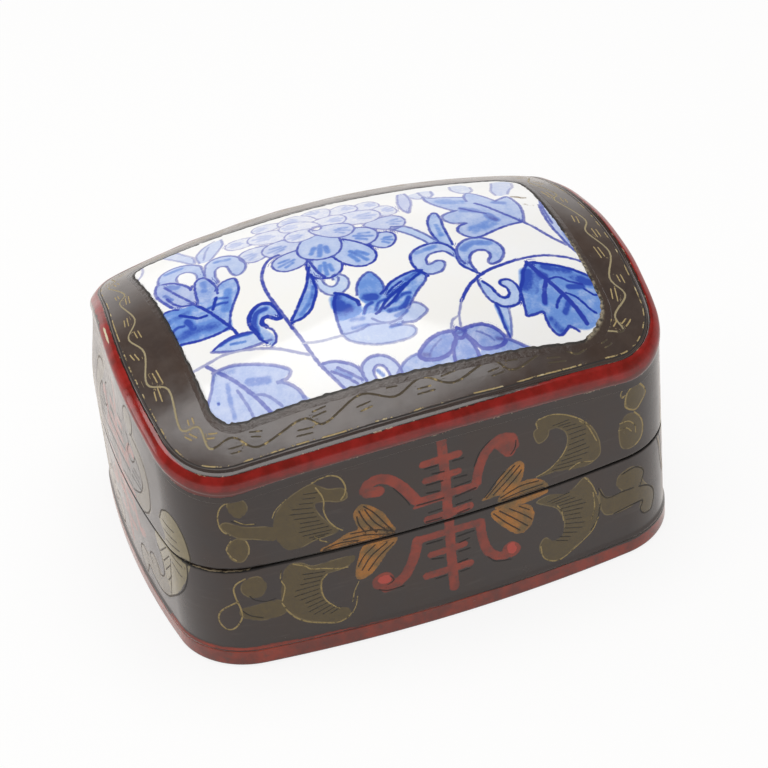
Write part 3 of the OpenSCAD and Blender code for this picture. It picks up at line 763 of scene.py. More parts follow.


# Brushwork on the porcelain, listed in millimetres from the middle of the top. A wash is
# (strength, purple share, outline). A dab or a line is (strength, purple share, width, path).
PORCELAIN_WASHES = [
    # Veined leaf and stem leaves at the front left
    (0.3, 0.3, [(-34.7, -18), (-31.5, -17.6), (-28.5, -18.7), (-25, -20.5), (-22.8, -22), (-21.7, -23.4),
        (-23.5, -24.5), (-22.6, -26), (-21.5, -28), (-21, -31), (-36, -31), (-38.5, -25),
        (-36.5, -21.5)]),
    (0.28, 0.0, [(-33, -13), (-31, -12), (-28.5, -11.5), (-26, -11.9), (-24, -12.8), (-22.7, -15.5),
        (-26, -15.4), (-29, -15.1), (-31.5, -14)]),
    (0.38, 0.0, [(-24.6, -12.5), (-24.6, -9.5), (-23.5, -7.4), (-21.3, -6.6), (-19.6, -7.5), (-19.2, -11),
        (-20.4, -10.4), (-21.3, -9.7), (-22.6, -10.2), (-23.2, -11.5), (-21.8, -15), (-22.8, -17),
        (-24, -15)]),
    # Great leaf at the left edge
    (0.5, 0.0, [(-39.5, 2.2), (-36.3, 2.2), (-34, 1.3), (-32, 0.5), (-28.4, -8.8), (-30.5, -9.4),
        (-33.5, -9.3), (-36, -8.7), (-39.5, -7.6)]),
    (0.4, 0.0, [(-31.6, 1.2), (-29.5, -0.2), (-27.3, 2.4), (-25.6, 4.5), (-23.3, 4.3), (-23.3, 1.5),
        (-24.8, -2), (-27, -5.5), (-28.3, -9)]),
    (0.34, 0.4, [(-36.2, 2.6), (-37.1, 6), (-37.3, 9.5), (-36.6, 12.3), (-35.4, 13.3), (-33.6, 12),
        (-32, 9.3), (-31, 6.4), (-31.4, 3), (-32.3, 1.2), (-34, 1.6)]),
    (0.38, 0.2, [(-31.5, 1.2), (-31, 4), (-30.4, 6.8), (-29.8, 8.2), (-28.8, 8.9), (-27.8, 8.2),
        (-27.3, 6.3), (-27, 4), (-27.3, 1.4), (-29.5, -0.5)]),
    # Its two curls, and the narrow leaves behind them
    (0.3, 0.2, [(-35.9, 13), (-35.3, 15.5), (-34.2, 17.2), (-32.3, 18), (-30.2, 17.6), (-28.6, 16.3),
        (-27.6, 14.8), (-27.2, 13), (-27.4, 11), (-27.9, 8.6), (-29.1, 9.4), (-28.9, 10.8), (-29.3, 12.6),
        (-30.3, 13.7), (-31.5, 13.8), (-32.4, 12.5), (-33, 11.4), (-34.5, 12.6)]),
    (0.26, 0.2, [(-27.6, 9), (-27, 11.5), (-26, 13.6), (-24.3, 14.5), (-22.4, 14.2), (-20.9, 12.8),
        (-20, 10.8), (-19.8, 8.3), (-20.3, 6.4), (-21.5, 5), (-22.8, 5.2), (-23.2, 7), (-23.2, 9),
        (-23.7, 10), (-24.5, 10.3), (-25.4, 9.5), (-26, 7.5), (-26.2, 4.5), (-27.2, 5)]),
    (0.22, 0.3, [(-31.5, 28), (-30.3, 22.5), (-29.3, 19), (-28.4, 16.4), (-27.4, 16.4), (-27.3, 19.5),
        (-28, 23), (-28.5, 27)]),
    (0.22, 0.3, [(-27, 15.3), (-26.8, 18.5), (-25.5, 21), (-23.8, 23), (-20.4, 24), (-20.6, 20.5),
        (-22.5, 17.7), (-24.2, 15.5), (-25.3, 14.6)]),
    # Narrow leaf and small curl left of the middle
    (0.42, 0.0, [(-17.7, -13.4), (-16, -11), (-14, -8.3), (-12, -5.3), (-10.8, -2.5), (-9.8, -0.5),
        (-9.6, -3.5), (-10.6, -6.5), (-12, -9.8), (-13.7, -12.2), (-15.6, -13.3)]),
    (0.2, 0.0, [(-10.3, -4.5), (-10.2, -7.8), (-9.3, -9.8), (-7.8, -10.5), (-6, -10), (-4.8, -8.7),
        (-4.6, -6.6), (-5.6, -5.2), (-7, -5.6), (-7, -7.4), (-8.3, -7.8), (-8.9, -6.2), (-9, -4.5)]),
    # Lotus: tip petals, bud and low petals
    (0.24, 0.2, [(-10.2, -16), (-10.2, -20), (-9.4, -21.7), (-7.5, -23), (-4.5, -24.2), (-1, -24.6),
        (1.5, -24.4), (2.7, -23.4), (2.3, -22.2), (0.4, -21.4), (3, -21.4), (4.8, -20.8), (6.2, -19.9),
        (5.8, -18.4), (4.4, -17.2), (0, -16.4), (-5, -15.8), (-8, -15)]),
    (0.55, 0.0, [(-7.8, -10.2), (-9, -12), (-9.8, -14.5), (-10.1, -16.6), (-7.5, -17), (-5, -16.2),
        (-4.9, -13.6), (-5.7, -12.2), (-6.6, -11)]),
    (0.5, 0.0, [(-4.4, -13), (-3.8, -10), (-2.5, -8.2), (-0.8, -7), (0, -7.2), (0.7, -9), (1, -11.4),
        (0.2, -13.4), (-1.5, -15), (-3.5, -15)]),
    (0.42, 0.0, [(-0.5, -13.2), (1.3, -12.2), (2.8, -11.1), (5, -10.2), (7.5, -9.7), (9, -10),
        (9.3, -11.5), (8.5, -13), (6.5, -14.7), (4.5, -16.7), (2, -18), (-1.5, -17.8), (-4.8, -16.8),
        (-3.4, -14.4)]),
    # Stems, narrow leaf and two curls right of the middle
    (0.26, 0.0, [(8.5, 4.9), (10.5, 2), (12.5, -2), (13, -3.2), (15.6, -3.2), (14.3, -0.8), (12.6, 2.4),
        (11, 4.6), (9.2, 5.6)]),
    (0.34, 0.0, [(15.2, -3.7), (14.9, 0), (15.4, 3.5), (16.4, 6), (17.8, 7.6), (18.5, 7.4), (18.5, 5),
        (17.9, 2), (17.6, -1), (17.3, -5)]),
    (0.3, 0.1, [(9.3, -11.4), (8.3, -9.7), (8, -7.5), (8.6, -5.3), (10, -3.9), (12, -3.1), (14, -3),
        (15.5, -3.6), (16.6, -5.2), (17.1, -7), (16.6, -9.5), (17, -11.5), (18.6, -13.4), (16.6, -11.6),
        (16.1, -8.6), (15, -6.3), (13.3, -5.9), (11.6, -6.4), (10.8, -7.5), (10.7, -9), (12.6, -8.4),
        (13.6, -8.8), (13.7, -9.8), (12.6, -11.2), (11, -11.7)]),
    (0.34, 0.1, [(18.8, -13.4), (17.2, -12), (16.6, -9.5), (17.3, -6.5), (18.8, -4.6), (21, -3.7),
        (23.3, -4.1), (25.2, -5.8), (25.9, -8), (25.3, -10), (24, -11.5), (22.5, -12), (21.8, -11.5),
        (22.8, -9.8), (22.8, -8.5), (21.9, -7.7), (20.5, -7.7), (19.2, -8.8), (18.4, -10.8)]),
    (0.24, 0.6, [(13.8, 9.8), (13.2, 12), (13.4, 15), (14.3, 18), (15.3, 21), (16.8, 21), (16.5, 17),
        (15.9, 14.3), (14.8, 11.8)]),
    (0.16, 0.4, [(16.5, 19), (17.4, 16.4), (19.6, 15.4), (21.6, 16.6), (22, 19.5), (20, 20.4)]),
    # Leaf at the back right
    (0.32, 0.2, [(19, 17), (18.8, 14.5), (19.3, 12), (20.5, 9.5), (21.8, 7.6), (19.9, 6.4), (19, 5),
        (19.6, 2.8), (21.6, 1.9), (20.4, 0.9), (19.9, -0.6), (20.5, -2.5), (22.3, -3.7), (26, -2.7),
        (28.5, -1.7), (31, -0.9), (33, -0.7), (34.3, 2.5), (35, 5.5), (34.8, 8.5), (34.2, 10.7),
        (32.4, 9.8), (31, 9.6), (30, 12), (28.8, 14), (27.4, 15), (26.2, 13.4), (24, 14), (22, 14.8),
        (20, 15.4)]),
    (0.16, 0.3, [(26.6, 15.2), (25.6, 18), (26.2, 21), (28.8, 21), (29.6, 18), (28.4, 15.2)]),
    (0.2, 0.4, [(32.8, 11.6), (32.5, 14.5), (33.5, 17.5), (35, 20.5), (38.4, 20), (37, 15.5), (35, 12)]),
    (0.26, 0.3, [(37.8, -4), (38, 0), (38.5, 3), (39.4, 7), (41.5, 8), (41.5, -12), (39.4, -12.4),
        (38.5, -9.5)]),
    # Small curl and the maple leaf at the front right
    (0.3, 0.0, [(17.9, -15.6), (17.8, -18), (18.2, -20.3), (19, -21.6), (19, -24), (18.7, -28.4),
        (19.5, -28), (20.5, -25), (21, -22.8), (23.2, -22.3), (24.2, -20.8), (24.6, -18.8), (24, -17),
        (22.9, -16.4), (21.8, -16.8), (22.4, -18.5), (22.4, -19.7), (21.7, -20.6), (20.6, -20.3),
        (20, -19), (19.4, -17.4), (18.8, -16.2)]),
    (0.5, 0.0, [(28.8, -13.3), (27.2, -15), (26, -17.5), (24.7, -19.5), (24.3, -22), (23.7, -25),
        (26.9, -25), (26.8, -26.8), (27.2, -28.6), (27.9, -29.9), (29.3, -29.4), (31, -28.9), (34, -29.5),
        (37.5, -27.5), (40, -23), (40.5, -18.8), (37.5, -16.8), (35, -15.2), (32, -14), (30, -13.3)]),
    (0.72, 0.0, [(28.8, -13.3), (27.2, -15), (26, -17.5), (24.7, -19.6), (26.5, -21), (28, -20.6),
        (29, -18.4), (30.6, -17), (30, -14.6)]),
    (0.6, 0.0, [(30, -13.3), (32, -14), (35, -15.2), (37.5, -16.8), (40, -18.8), (38, -20), (35, -18.2),
        (33, -17.2), (31, -17)]),
    # Flower cut off by the front edge, and curls beside it
    (0.5, 0.45, [(9, -25.2), (6.5, -25.2), (4, -26), (2, -27.4), (1.2, -28.4), (2, -29.4), (4.5, -29.9),
        (6.8, -29.4), (8, -28.2), (9.2, -26.8)]),
    (0.46, 0.45, [(11.2, -25.3), (14, -25.1), (16, -25.9), (17.4, -27.5), (17.8, -29), (16.8, -29.9),
        (15, -30.2), (12.8, -29.8), (11.8, -28), (11.2, -26.6)]),
    (0.46, 0.4, [(9.2, -26.8), (7.7, -28.8), (7, -33), (12, -33), (11.7, -28.5), (10.9, -26.8)]),
    (0.4, 0.3, [(1.4, -27.9), (-1, -28.4), (-3, -29.7), (-4, -33), (7, -33), (6.8, -29.6), (3, -29.9)]),
    (0.4, 0.3, [(17.8, -28.8), (19.5, -30), (21.5, -31.5), (20, -33), (12, -33), (12.6, -30),
        (16, -30.3)]),
    (0.28, 0.4, [(-16.2, -24.3), (-14, -24.5), (-12, -25.5), (-10.3, -27), (-9.6, -29), (-9.5, -32),
        (-13, -32), (-15, -27.5)]),
    (0.26, 0.3, [(-9.7, -28.5), (-9, -26.8), (-7.3, -26), (-5.3, -26.3), (-3.8, -27.5), (-3, -29.2),
        (-3, -32), (-5.2, -32), (-5.3, -29.5), (-6, -28.2), (-7, -28), (-7.8, -29.2), (-7.8, -32),
        (-9.7, -32)]),
]

# Petals of the big flower from the outermost to the innermost: root, tip and width
PORCELAIN_PETALS = [
    ((6, 17.5), (10.2, 18.6), 4.2), ((-9.5, 20.6), (-14.4, 22), 4), ((1.5, 18.5), (6, 19.8), 4.6),
    ((-15, 16.5), (-21, 18), 4.2), ((8, 13), (12.2, 13.8), 4.4), ((6, 8.4), (12, 6.8), 4.6),
    ((-14.5, 10.8), (-20.2, 9.6), 4.6), ((3.6, 3), (7.8, 0.6), 4.6), ((-1, 18.5), (-2, 23.6), 4.6),
    ((-4, 17.5), (-8.4, 22.4), 5), ((0, 14.5), (8.8, 12), 5.4), ((-8, 13.6), (-16.6, 17.4), 5),
    ((-7.5, 9.6), (-16, 8.8), 5), ((-2, 7.4), (5.2, 3.4), 5.6), ((-8, 4.4), (-15.8, 2.4), 4.8),
    ((-6, 3.4), (-8, -5.4), 5.4), ((-3.4, 5), (1.2, -4.6), 5.6), ((-4.2, 9.8), (-7.4, 0.9), 6.8),
    ((-3.6, 15.2), (2.6, 14.4), 4.2), ((-4.4, 15), (-9.8, 18.4), 4.2), ((-4.6, 11.8), (-10.6, 12), 4.2),
    ((-3.8, 11.8), (1.9, 7.8), 4.8),
]

PORCELAIN_DABS = [
    (0.48, 0.7, 2.2, [(-29.3, -22.4), (-26.2, -23.3)]), (0.34, 0.5, 1.4, [(-33, -18.5), (-31, -19)]),
    (0.42, 0.6, 1.2, [(-33, -21), (-33.6, -24), (-34, -27.5)]),
    (0.9, 0.2, 0.6, [(-35.8, -23.7), (-35.7, -23.9)]),
    (0.85, 0.0, 1.1, [(-31.4, -12.3), (-29, -11.8), (-25.4, -12.3)]),
    (0.55, 0.1, 0.8, [(-29.5, -13.1), (-27, -13.8)]),
    (0.85, 0.1, 1.5, [(-24.2, -12.5), (-23.9, -10), (-22.8, -8.2), (-21, -7.9)]),
    (0.9, 0.1, 0.9, [(-24.3, -12.8), (-24, -14.6)]),
    (0.92, 0.0, 1.0, [(-38.4, -4.2), (-36.9, -3.5), (-35.8, -3.8)]),
    (0.88, 0.0, 2.0, [(-34.7, -3), (-34.3, -5.4)]),
    (0.62, 0.0, 3.6, [(-38.5, -6), (-34.5, -6.3), (-30.5, -7)]),
    (0.6, 0.0, 2.0, [(-37.5, -1), (-34, -0.6)]),
    (0.8, 0.0, 1.0, [(-30.4, -1.9), (-28, -1.8), (-26.7, -2.3)]),
    (0.8, 0.0, 0.9, [(-28.3, 0.2), (-27, -0.5), (-26.2, -1)]), (0.5, 0.0, 2.2, [(-27.5, -4), (-25.5, 1)]),
    (0.55, 0.6, 1.0, [(-36.1, 8), (-35.3, 5.4)]), (0.5, 0.5, 2.0, [(-34.6, 10.5), (-33.2, 9.2)]),
    (0.5, 0.3, 1.6, [(-29.3, 4), (-28.8, 6.8)]), (0.45, 0.3, 1.5, [(-33.5, 16.5), (-30.5, 16.3)]),
    (0.4, 0.3, 1.5, [(-24.5, 13), (-22, 12)]),
    (0.6, 0.0, 1.2, [(-15.5, -12.5), (-12.6, -9.6), (-11, -6.5)]),
    (0.95, 0.0, 3.2, [(-8.4, -11.6), (-8.6, -13.2)]), (0.8, 0.0, 3.4, [(-8.4, -13.2), (-7.2, -14.6)]),
    (0.55, 0.0, 3.0, [(-8.6, -15.2), (-6.6, -15.8)]), (0.4, 0.7, 1.2, [(-8, -19.2), (-5.2, -19.6)]),
    (0.36, 0.6, 1.4, [(-7.5, -17.4), (-5.5, -17.8)]), (1.0, 0.0, 2.6, [(-3.2, -13.2), (-1.6, -13.7)]),
    (0.95, 0.0, 0.9, [(-4.9, -16.8), (-4, -15.4), (-2.6, -14.9)]),
    (0.95, 0.0, 0.9, [(-2.6, -16.8), (-1.4, -15.3), (0, -15)]),
    (1.0, 0.0, 1.2, [(1.4, -15.9), (3.3, -14.9), (4.7, -14.9)]),
    (1.0, 0.0, 1.4, [(-0.4, -17.8), (1.8, -17.8), (3.3, -17), (4.2, -15.9)]),
    (0.9, 0.0, 1.2, [(1.2, -14.4), (3, -13.5), (4.8, -12.7)]),
    (0.6, 0.0, 1.6, [(5.5, -11.4), (8.2, -10.6)]), (0.45, 0.5, 1.4, [(0.5, -19.3), (2.5, -18.8)]),
    (0.42, 0.4, 1.0, [(-1.5, -21.4), (0.4, -21.3)]), (0.42, 0.2, 1.6, [(10, -4.8), (13.8, -4.2)]),
    (0.48, 0.3, 2.0, [(18.6, -6.6), (21, -5.2), (24, -6)]), (0.46, 0.1, 1.2, [(16.4, -1), (16.8, 3)]),
    (0.46, 0.7, 2.8, [(24, 7.2), (25.8, 6)]), (0.62, 0.7, 2.4, [(27.7, 3.6), (28.2, 1.5)]),
    (0.46, 0.6, 1.8, [(30.8, 8.5), (32.4, 7.8)]), (0.4, 0.2, 3.4, [(21.5, 12.6), (24.5, 11)]),
    (0.44, 0.2, 3.4, [(23, -1), (27, 0.5)]), (0.42, 0.6, 1.4, [(39.6, -5.5), (39.6, -9.5)]),
    (0.5, 0.2, 1.2, [(18.9, -22), (18.8, -27)]), (0.85, 0.0, 3.2, [(27.5, -15.6), (26.2, -19)]),
    (0.78, 0.0, 2.2, [(31.5, -14.6), (35.5, -16.6)]), (1.0, 0.15, 2.2, [(29.9, -16), (30.5, -17)]),
    (1.0, 0.0, 1.7, [(34.1, -20.2), (36.6, -20.4)]), (0.85, 0.0, 1.4, [(28.6, -21.5), (28, -23.2)]),
    (0.8, 0.0, 1.6, [(32.6, -23.6), (31, -25.6)]), (0.75, 0.0, 2.6, [(36, -18), (38.4, -19.8)]),
    (0.7, 0.0, 2.0, [(27.6, -26.5), (28.6, -28.8)]), (0.62, 0.8, 1.6, [(1.7, -28.4), (2.8, -28.8)]),
    (0.62, 0.8, 1.2, [(16.2, -28.6), (17.2, -28.9)]), (0.6, 0.7, 1.4, [(9.4, -26), (10.6, -26)]),
    (0.45, 0.6, 1.0, [(-14, -26.4), (-12, -28.4)]), (0.5, 0.6, 1.0, [(-7, -28.9), (-6.4, -30)]),
]

PORCELAIN_LINES = [
    # Veined leaf, stems and stem leaf
    (0.42, 0.7, 0.5, [(-34.6, -17.6), (-31.5, -17.6), (-28.5, -18.7), (-25, -20.5), (-22.8, -22),
        (-21.7, -23.4), (-22.8, -24.5), (-24.6, -24.6)]),
    (0.42, 0.7, 0.5, [(-24.6, -24.5), (-23.2, -25.3), (-22, -26.7), (-21.3, -28.3), (-21, -30.5)]),
    (0.4, 0.4, 0.45, [(-34.7, -18), (-36, -20.8), (-37.5, -23), (-38.6, -24.5)]),
    (0.52, 0.7, 0.55, [(-35.3, -15.3), (-34, -17.5), (-32, -20.3), (-30.5, -23), (-29, -26),
        (-27.6, -29.5)]),
    (0.36, 0.6, 0.4, [(-31.8, -23), (-31.2, -26), (-30.8, -29)]),
    (0.36, 0.6, 0.4, [(-29.4, -25), (-27.2, -26.2), (-25.4, -29)]),
    (0.34, 0.4, 0.45, [(-39, -15.5), (-35, -15.2), (-32, -14.8), (-29, -15.2), (-25, -16.6), (-22, -18.2),
        (-19, -20.5), (-17.3, -21.6)]),
    (0.62, 0.5, 0.5, [(-13.6, 6.9), (-15, 6.6), (-16.4, 5.5), (-18, 2.9), (-19, 0), (-19.3, -4),
        (-19.1, -7), (-18.6, -11), (-18.1, -15)]),
    (0.5, 0.7, 0.5, [(-18.2, -14), (-17.5, -18), (-17, -21.2), (-16.3, -24.3), (-15.2, -27),
        (-13.8, -30.3)]),
    (0.26, 0.3, 0.4, [(-17.6, -18.9), (-14, -19.8), (-10.4, -20)]),
    (0.72, 0.5, 0.35, [(-33.2, -13), (-31, -12), (-28.5, -11.5), (-26, -11.9), (-24.4, -12.8)]),
    (0.5, 0.7, 0.45, [(-33.3, -13), (-31.5, -14), (-29, -15.1), (-26, -15.5), (-22.6, -15.6)]),
    (1.0, 0.15, 0.65, [(-24.4, -13.2), (-24.9, -10.5), (-24.2, -8.2), (-22.8, -6.8), (-21.3, -6.3),
        (-19.9, -6.9), (-19.2, -8.4), (-19, -10.2), (-19.1, -11.4), (-20, -11.4), (-20.7, -10.6),
        (-21.4, -10), (-22.3, -10.2), (-22.8, -11.1), (-22.3, -12.4)]),
    (0.6, 0.3, 0.35, [(-22.4, -12.2), (-21.6, -13.5), (-21.4, -15), (-21.9, -16.4), (-22.8, -17)]),
    (0.8, 0.2, 0.4, [(-24.6, -12.5), (-24.3, -14.6), (-23.5, -16)]),
    (0.95, 0.2, 0.5, [(-32.4, 1.6), (-30.8, -2), (-29.3, -6), (-28.2, -9.3), (-27.6, -11.6)]),
    (0.62, 0.2, 0.4, [(-23.1, 2.6), (-23.7, 0), (-25.5, -3), (-27, -5.5), (-28, -8), (-28.3, -9.5)]),
    # Great leaf
    (0.72, 0.3, 0.45, [(-39.3, -7.5), (-36, -8.7), (-33.5, -9.3), (-30.5, -9.4), (-28.5, -9)]),
    (0.62, 0.3, 0.4, [(-39.5, 2.2), (-36.6, 2.3), (-35.2, 1.5)]),
    (0.92, 0.1, 0.5, [(-35.4, -0.4), (-34, -2), (-32.8, -3.3), (-31.2, -3.6)]),
    (0.9, 0.1, 0.5, [(-29.6, -2.6), (-28.6, -0.7), (-28, 0.4)]),
    (0.58, 0.6, 0.45, [(-36, 2.9), (-37.1, 6.5), (-37.4, 9.5), (-36.8, 12), (-35.7, 13.8)]),
    (0.58, 0.6, 0.4, [(-35.2, 11.2), (-34.6, 8.5), (-33.7, 5.5), (-32.8, 3), (-32, 1)]),
    (0.58, 0.5, 0.4, [(-36, 6.5), (-35.4, 3.8), (-34.2, 2), (-32.4, 1.2)]),
    (0.62, 0.6, 0.45, [(-35.3, 12.9), (-33.4, 11.4), (-32, 9), (-31.3, 7), (-31.3, 6.2), (-30.6, 7.4)]),
    (0.62, 0.4, 0.4, [(-31.4, 1.2), (-31, 4), (-30.4, 6.8), (-29.8, 8.2), (-28.8, 8.9), (-27.8, 8.2),
        (-27.3, 6.3), (-27, 4), (-27.4, 1.5)]),
    (0.6, 0.4, 0.4, [(-27.5, 2.6), (-26.6, 3.7), (-25.6, 4.4), (-24.2, 4.6), (-23.2, 4.2), (-23.1, 2.4)]),
    (0.48, 0.5, 0.4, [(-36, 13), (-35.3, 15.5), (-34.2, 17.2), (-32.3, 18), (-30.2, 17.6), (-28.6, 16.3),
        (-27.7, 15), (-27.2, 13.5), (-27.4, 11), (-27.7, 8.8)]),
    (0.42, 0.5, 0.35, [(-32.7, 10.5), (-32.4, 12.5), (-31.5, 13.8), (-30.3, 13.7), (-29.3, 12.6),
        (-28.9, 10.8), (-29.2, 9.2)]),
    (0.46, 0.5, 0.4, [(-27.7, 9), (-27, 11.5), (-26, 13.6), (-24.3, 14.5), (-22.4, 14.2), (-20.9, 12.8),
        (-20, 10.8), (-19.8, 8.3), (-20.3, 6.4), (-21.5, 5), (-22.8, 5.1), (-23.2, 7), (-23.1, 9),
        (-23.6, 10), (-24.5, 10.3), (-25.4, 9.5), (-26, 7.5), (-26.1, 4.8)]),
    (0.3, 0.5, 0.4, [(-31.5, 27.5), (-30.3, 22.5), (-29.3, 19), (-28.4, 16.5)]),
    (0.3, 0.5, 0.4, [(-28.6, 27), (-28, 23), (-27.2, 19.5), (-27.5, 16.2)]),
    (0.32, 0.5, 0.4, [(-27, 15.3), (-26.8, 18.5), (-25.5, 21), (-24, 22.8), (-21.5, 24.5)]),
    (0.32, 0.5, 0.4, [(-20.2, 24), (-20.8, 20.5), (-22.5, 17.7), (-24.2, 15.5), (-25, 14.6)]),
    (0.26, 0.5, 0.35, [(-25.9, 16), (-24.8, 19), (-23.3, 22)]),
    (0.32, 0.6, 0.4, [(-38.6, 20), (-37.3, 21.5), (-36.5, 23.5), (-36, 26), (-36, 28.4)]),
    # Narrow leaf and small curl
    (0.78, 0.1, 0.45, [(-17.7, -13), (-16, -11), (-14, -8.3), (-12, -5.3), (-10.8, -2.5), (-9.9, -0.6)]),
    (0.82, 0.1, 0.45, [(-17.8, -13.6), (-15.6, -13.3), (-13.5, -12), (-12, -9.8), (-10.8, -7.5),
        (-10.5, -5), (-10.3, -3)]),
    (0.5, 0.2, 0.35, [(-10.4, -5), (-10.3, -7.5), (-9.6, -9.5), (-8.3, -10.4), (-6.5, -10.3), (-5, -9),
        (-4.5, -7.3), (-5, -5.8), (-6.1, -5), (-7, -5.4), (-7.1, -6.3)]),
    (0.5, 0.2, 0.35, [(-9.1, -4.6), (-8.9, -6.5), (-8.3, -7.8), (-7.3, -8), (-6.3, -6.9), (-6, -6.2)]),
    (0.62, 0.4, 0.45, [(-9.2, 1.5), (-9.1, -1), (-8.8, -3.2), (-8.2, -4.9)]),
    # Lotus
    (0.95, 0.1, 0.45, [(-7.8, -10.1), (-9, -12), (-9.7, -14.5)]),
    (0.55, 0.2, 0.4, [(-9.6, -14.2), (-10.1, -17), (-10.3, -20)]),
    (1.0, 0.1, 0.55, [(-8, -10), (-6.6, -11), (-5.6, -12.5), (-4.9, -13.6), (-5, -14.5)]),
    (0.55, 0.2, 0.4, [(-4.5, -12), (-3.8, -10), (-2.5, -8.2), (-0.8, -7), (0, -7.1), (0.5, -8.2),
        (0.9, -10), (0.8, -12), (0, -13.4)]),
    (0.8, 0.1, 0.45, [(-0.3, -13.4), (0.8, -12.6), (2.5, -11.2), (5, -10.2), (7.5, -9.7), (9, -10)]),
    (1.0, 0.1, 0.6, [(8.2, -9.8), (9, -10.8), (9.5, -11.8)]),
    (0.6, 0.2, 0.4, [(9.3, -11.6), (8.5, -13), (6.5, -14.7), (4.5, -16.8), (3.6, -17.8)]),
    (0.9, 0.0, 0.45, [(8.6, -10.5), (6, -12), (3.5, -13.8), (1, -15.9), (-1, -17)]),
    (0.85, 0.0, 0.45, [(5, -12.4), (2.4, -13.9), (0.2, -15.2), (-2, -17.2), (-2.8, -17.6)]),
    (0.75, 0.0, 0.35, [(4.4, -11.6), (2.4, -12.6), (0.6, -14)]),
    (0.34, 0.3, 0.4, [(-10.3, -20), (-9.5, -21.6), (-7.5, -23), (-4.5, -24.2), (-1, -24.6), (1.5, -24.4),
        (2.7, -23.4), (2.3, -22.2), (0.6, -21.5), (-1.3, -21.2)]),
    (0.3, 0.5, 0.35, [(-10.2, -20), (-7, -20.1), (-5, -19.6), (-3, -20), (-1, -20.4), (1, -20.2)]),
    (0.36, 0.6, 0.35, [(-4, -18.4), (-2.5, -19.9), (0, -20.3), (2, -19.3), (3.6, -18)]),
    (0.45, 0.3, 0.4, [(2.6, -18), (4.5, -17.3), (5.8, -18.3), (6.3, -19.8), (4.8, -20.8), (3, -21.5),
        (1, -21.1)]),
    # Stem, narrow leaf and the two curls
    (0.48, 0.2, 0.4, [(8.2, 5), (10.5, 2), (12.3, -1), (13.2, -3)]),
    (0.48, 0.2, 0.4, [(8.8, 5.7), (11.5, 4.3), (13.5, 0.8), (15, -2.6), (16.6, -5)]),
    (0.62, 0.2, 0.4, [(15.2, -3.5), (14.9, 0), (15.4, 3.5), (16.4, 6), (17.8, 7.7), (18.5, 7.4),
        (18.5, 5), (17.9, 2), (17.6, -1), (17.3, -4.5)]),
    (0.66, 0.2, 0.45, [(9.4, -11.5), (8.3, -9.7), (8, -7.5), (8.6, -5.3), (10, -3.9), (12, -3.1),
        (14, -3), (15.5, -3.6), (16.5, -5), (17, -7), (16.5, -9.5), (16.8, -11.3), (18, -12.8),
        (18.8, -13.8)]),
    (0.58, 0.2, 0.4, [(9.3, -11.4), (11, -11.7), (12.7, -11.2), (13.8, -9.7), (13.6, -8.7), (12.6, -8.4),
        (11.2, -8.9), (10.7, -8.8), (10.9, -7.5), (11.7, -6.4), (13.3, -5.9), (15, -6.2), (16.1, -7.9)]),
    (0.58, 0.3, 0.45, [(17.4, -10.6), (16.9, -9), (17.3, -6.5), (18.8, -4.6), (21, -3.7), (23.3, -4.1),
        (25.2, -5.8), (25.9, -8), (25.3, -10), (24, -11.5), (22.6, -12), (21.8, -11.7), (22, -10.8),
        (22.8, -9.8), (22.8, -8.5), (22, -7.8), (20.5, -7.7), (19.2, -8.8), (18.4, -10.8),
        (18.6, -13.2)]),
    (0.34, 0.6, 0.4, [(15.3, 20.8), (14.3, 18), (13.4, 15), (13.2, 12), (13.8, 9.8), (14.8, 11.8),
        (15.9, 14.3), (16.5, 17), (16.8, 21)]),
    (0.26, 0.5, 0.4, [(16.6, 18), (17.5, 16.2), (18.8, 15.6)]),
    (0.28, 0.5, 0.4, [(19.3, 20), (19.2, 17.5), (19.9, 15.5), (21.2, 17), (21.8, 19.6)]),
    # Leaf at the back right with its stem
    (0.46, 0.5, 0.45, [(19.2, 17), (18.8, 14.5), (19.3, 12), (20.5, 9.5), (21.8, 7.7), (22.4, 7.2)]),
    (0.5, 0.4, 0.45, [(22.6, 7.2), (20.5, 6.7), (19, 5.7), (19, 4), (19.9, 2.5), (21.3, 2), (22.4, 1.7)]),
    (0.6, 0.4, 0.45, [(22.4, 1.6), (20.8, 1), (19.9, -0.4), (20.3, -2), (21.6, -3.5), (23.5, -3.6),
        (26, -2.6), (28.5, -1.6), (31, -0.9), (33, -0.6)]),
    (0.5, 0.4, 0.45, [(33.4, -0.3), (34.4, 2.5), (35, 5.5), (34.9, 8.5), (34.3, 10.7), (33, 10.2),
        (31.4, 9.2)]),
    (0.42, 0.5, 0.4, [(31.2, 9.4), (30, 12), (28.8, 14), (27.5, 15), (26.3, 13), (26, 10.8)]),
    (0.36, 0.5, 0.4, [(26, 13), (24, 14), (22, 14.8), (20, 15.2)]),
    (0.5, 0.6, 0.45, [(23.6, 8), (25.4, 6), (27.4, 4.4)]),
    (0.58, 0.5, 0.5, [(27.2, 9.2), (28.7, 7), (30.3, 4), (31.8, 1.5), (33.2, -0.8), (34.5, -3),
        (36.3, -6.5), (38.3, -9.3)]),
    (0.28, 0.4, 0.4, [(26, 20.6), (25.5, 18), (26.3, 15.8), (27.3, 15)]),
    (0.28, 0.4, 0.4, [(29.6, 18.6), (29.3, 16.5), (28.2, 15)]),
    (0.28, 0.5, 0.4, [(32.5, 12), (32.5, 14.5), (33.5, 17), (34.6, 20)]),
    (0.28, 0.5, 0.4, [(35, 12), (36, 14), (37.5, 16), (38.4, 18.8)]),
    (0.56, 0.4, 0.45, [(38.9, 5.5), (38.3, 2.5), (37.9, -1), (37.9, -4), (38.3, -7), (38.8, -10),
        (40, -13)]),
    (0.5, 0.4, 0.4, [(39.8, 7.4), (39.2, 4.5), (38.8, 2), (38.5, -2)]),
    # Stem arc, small curl and the maple leaf
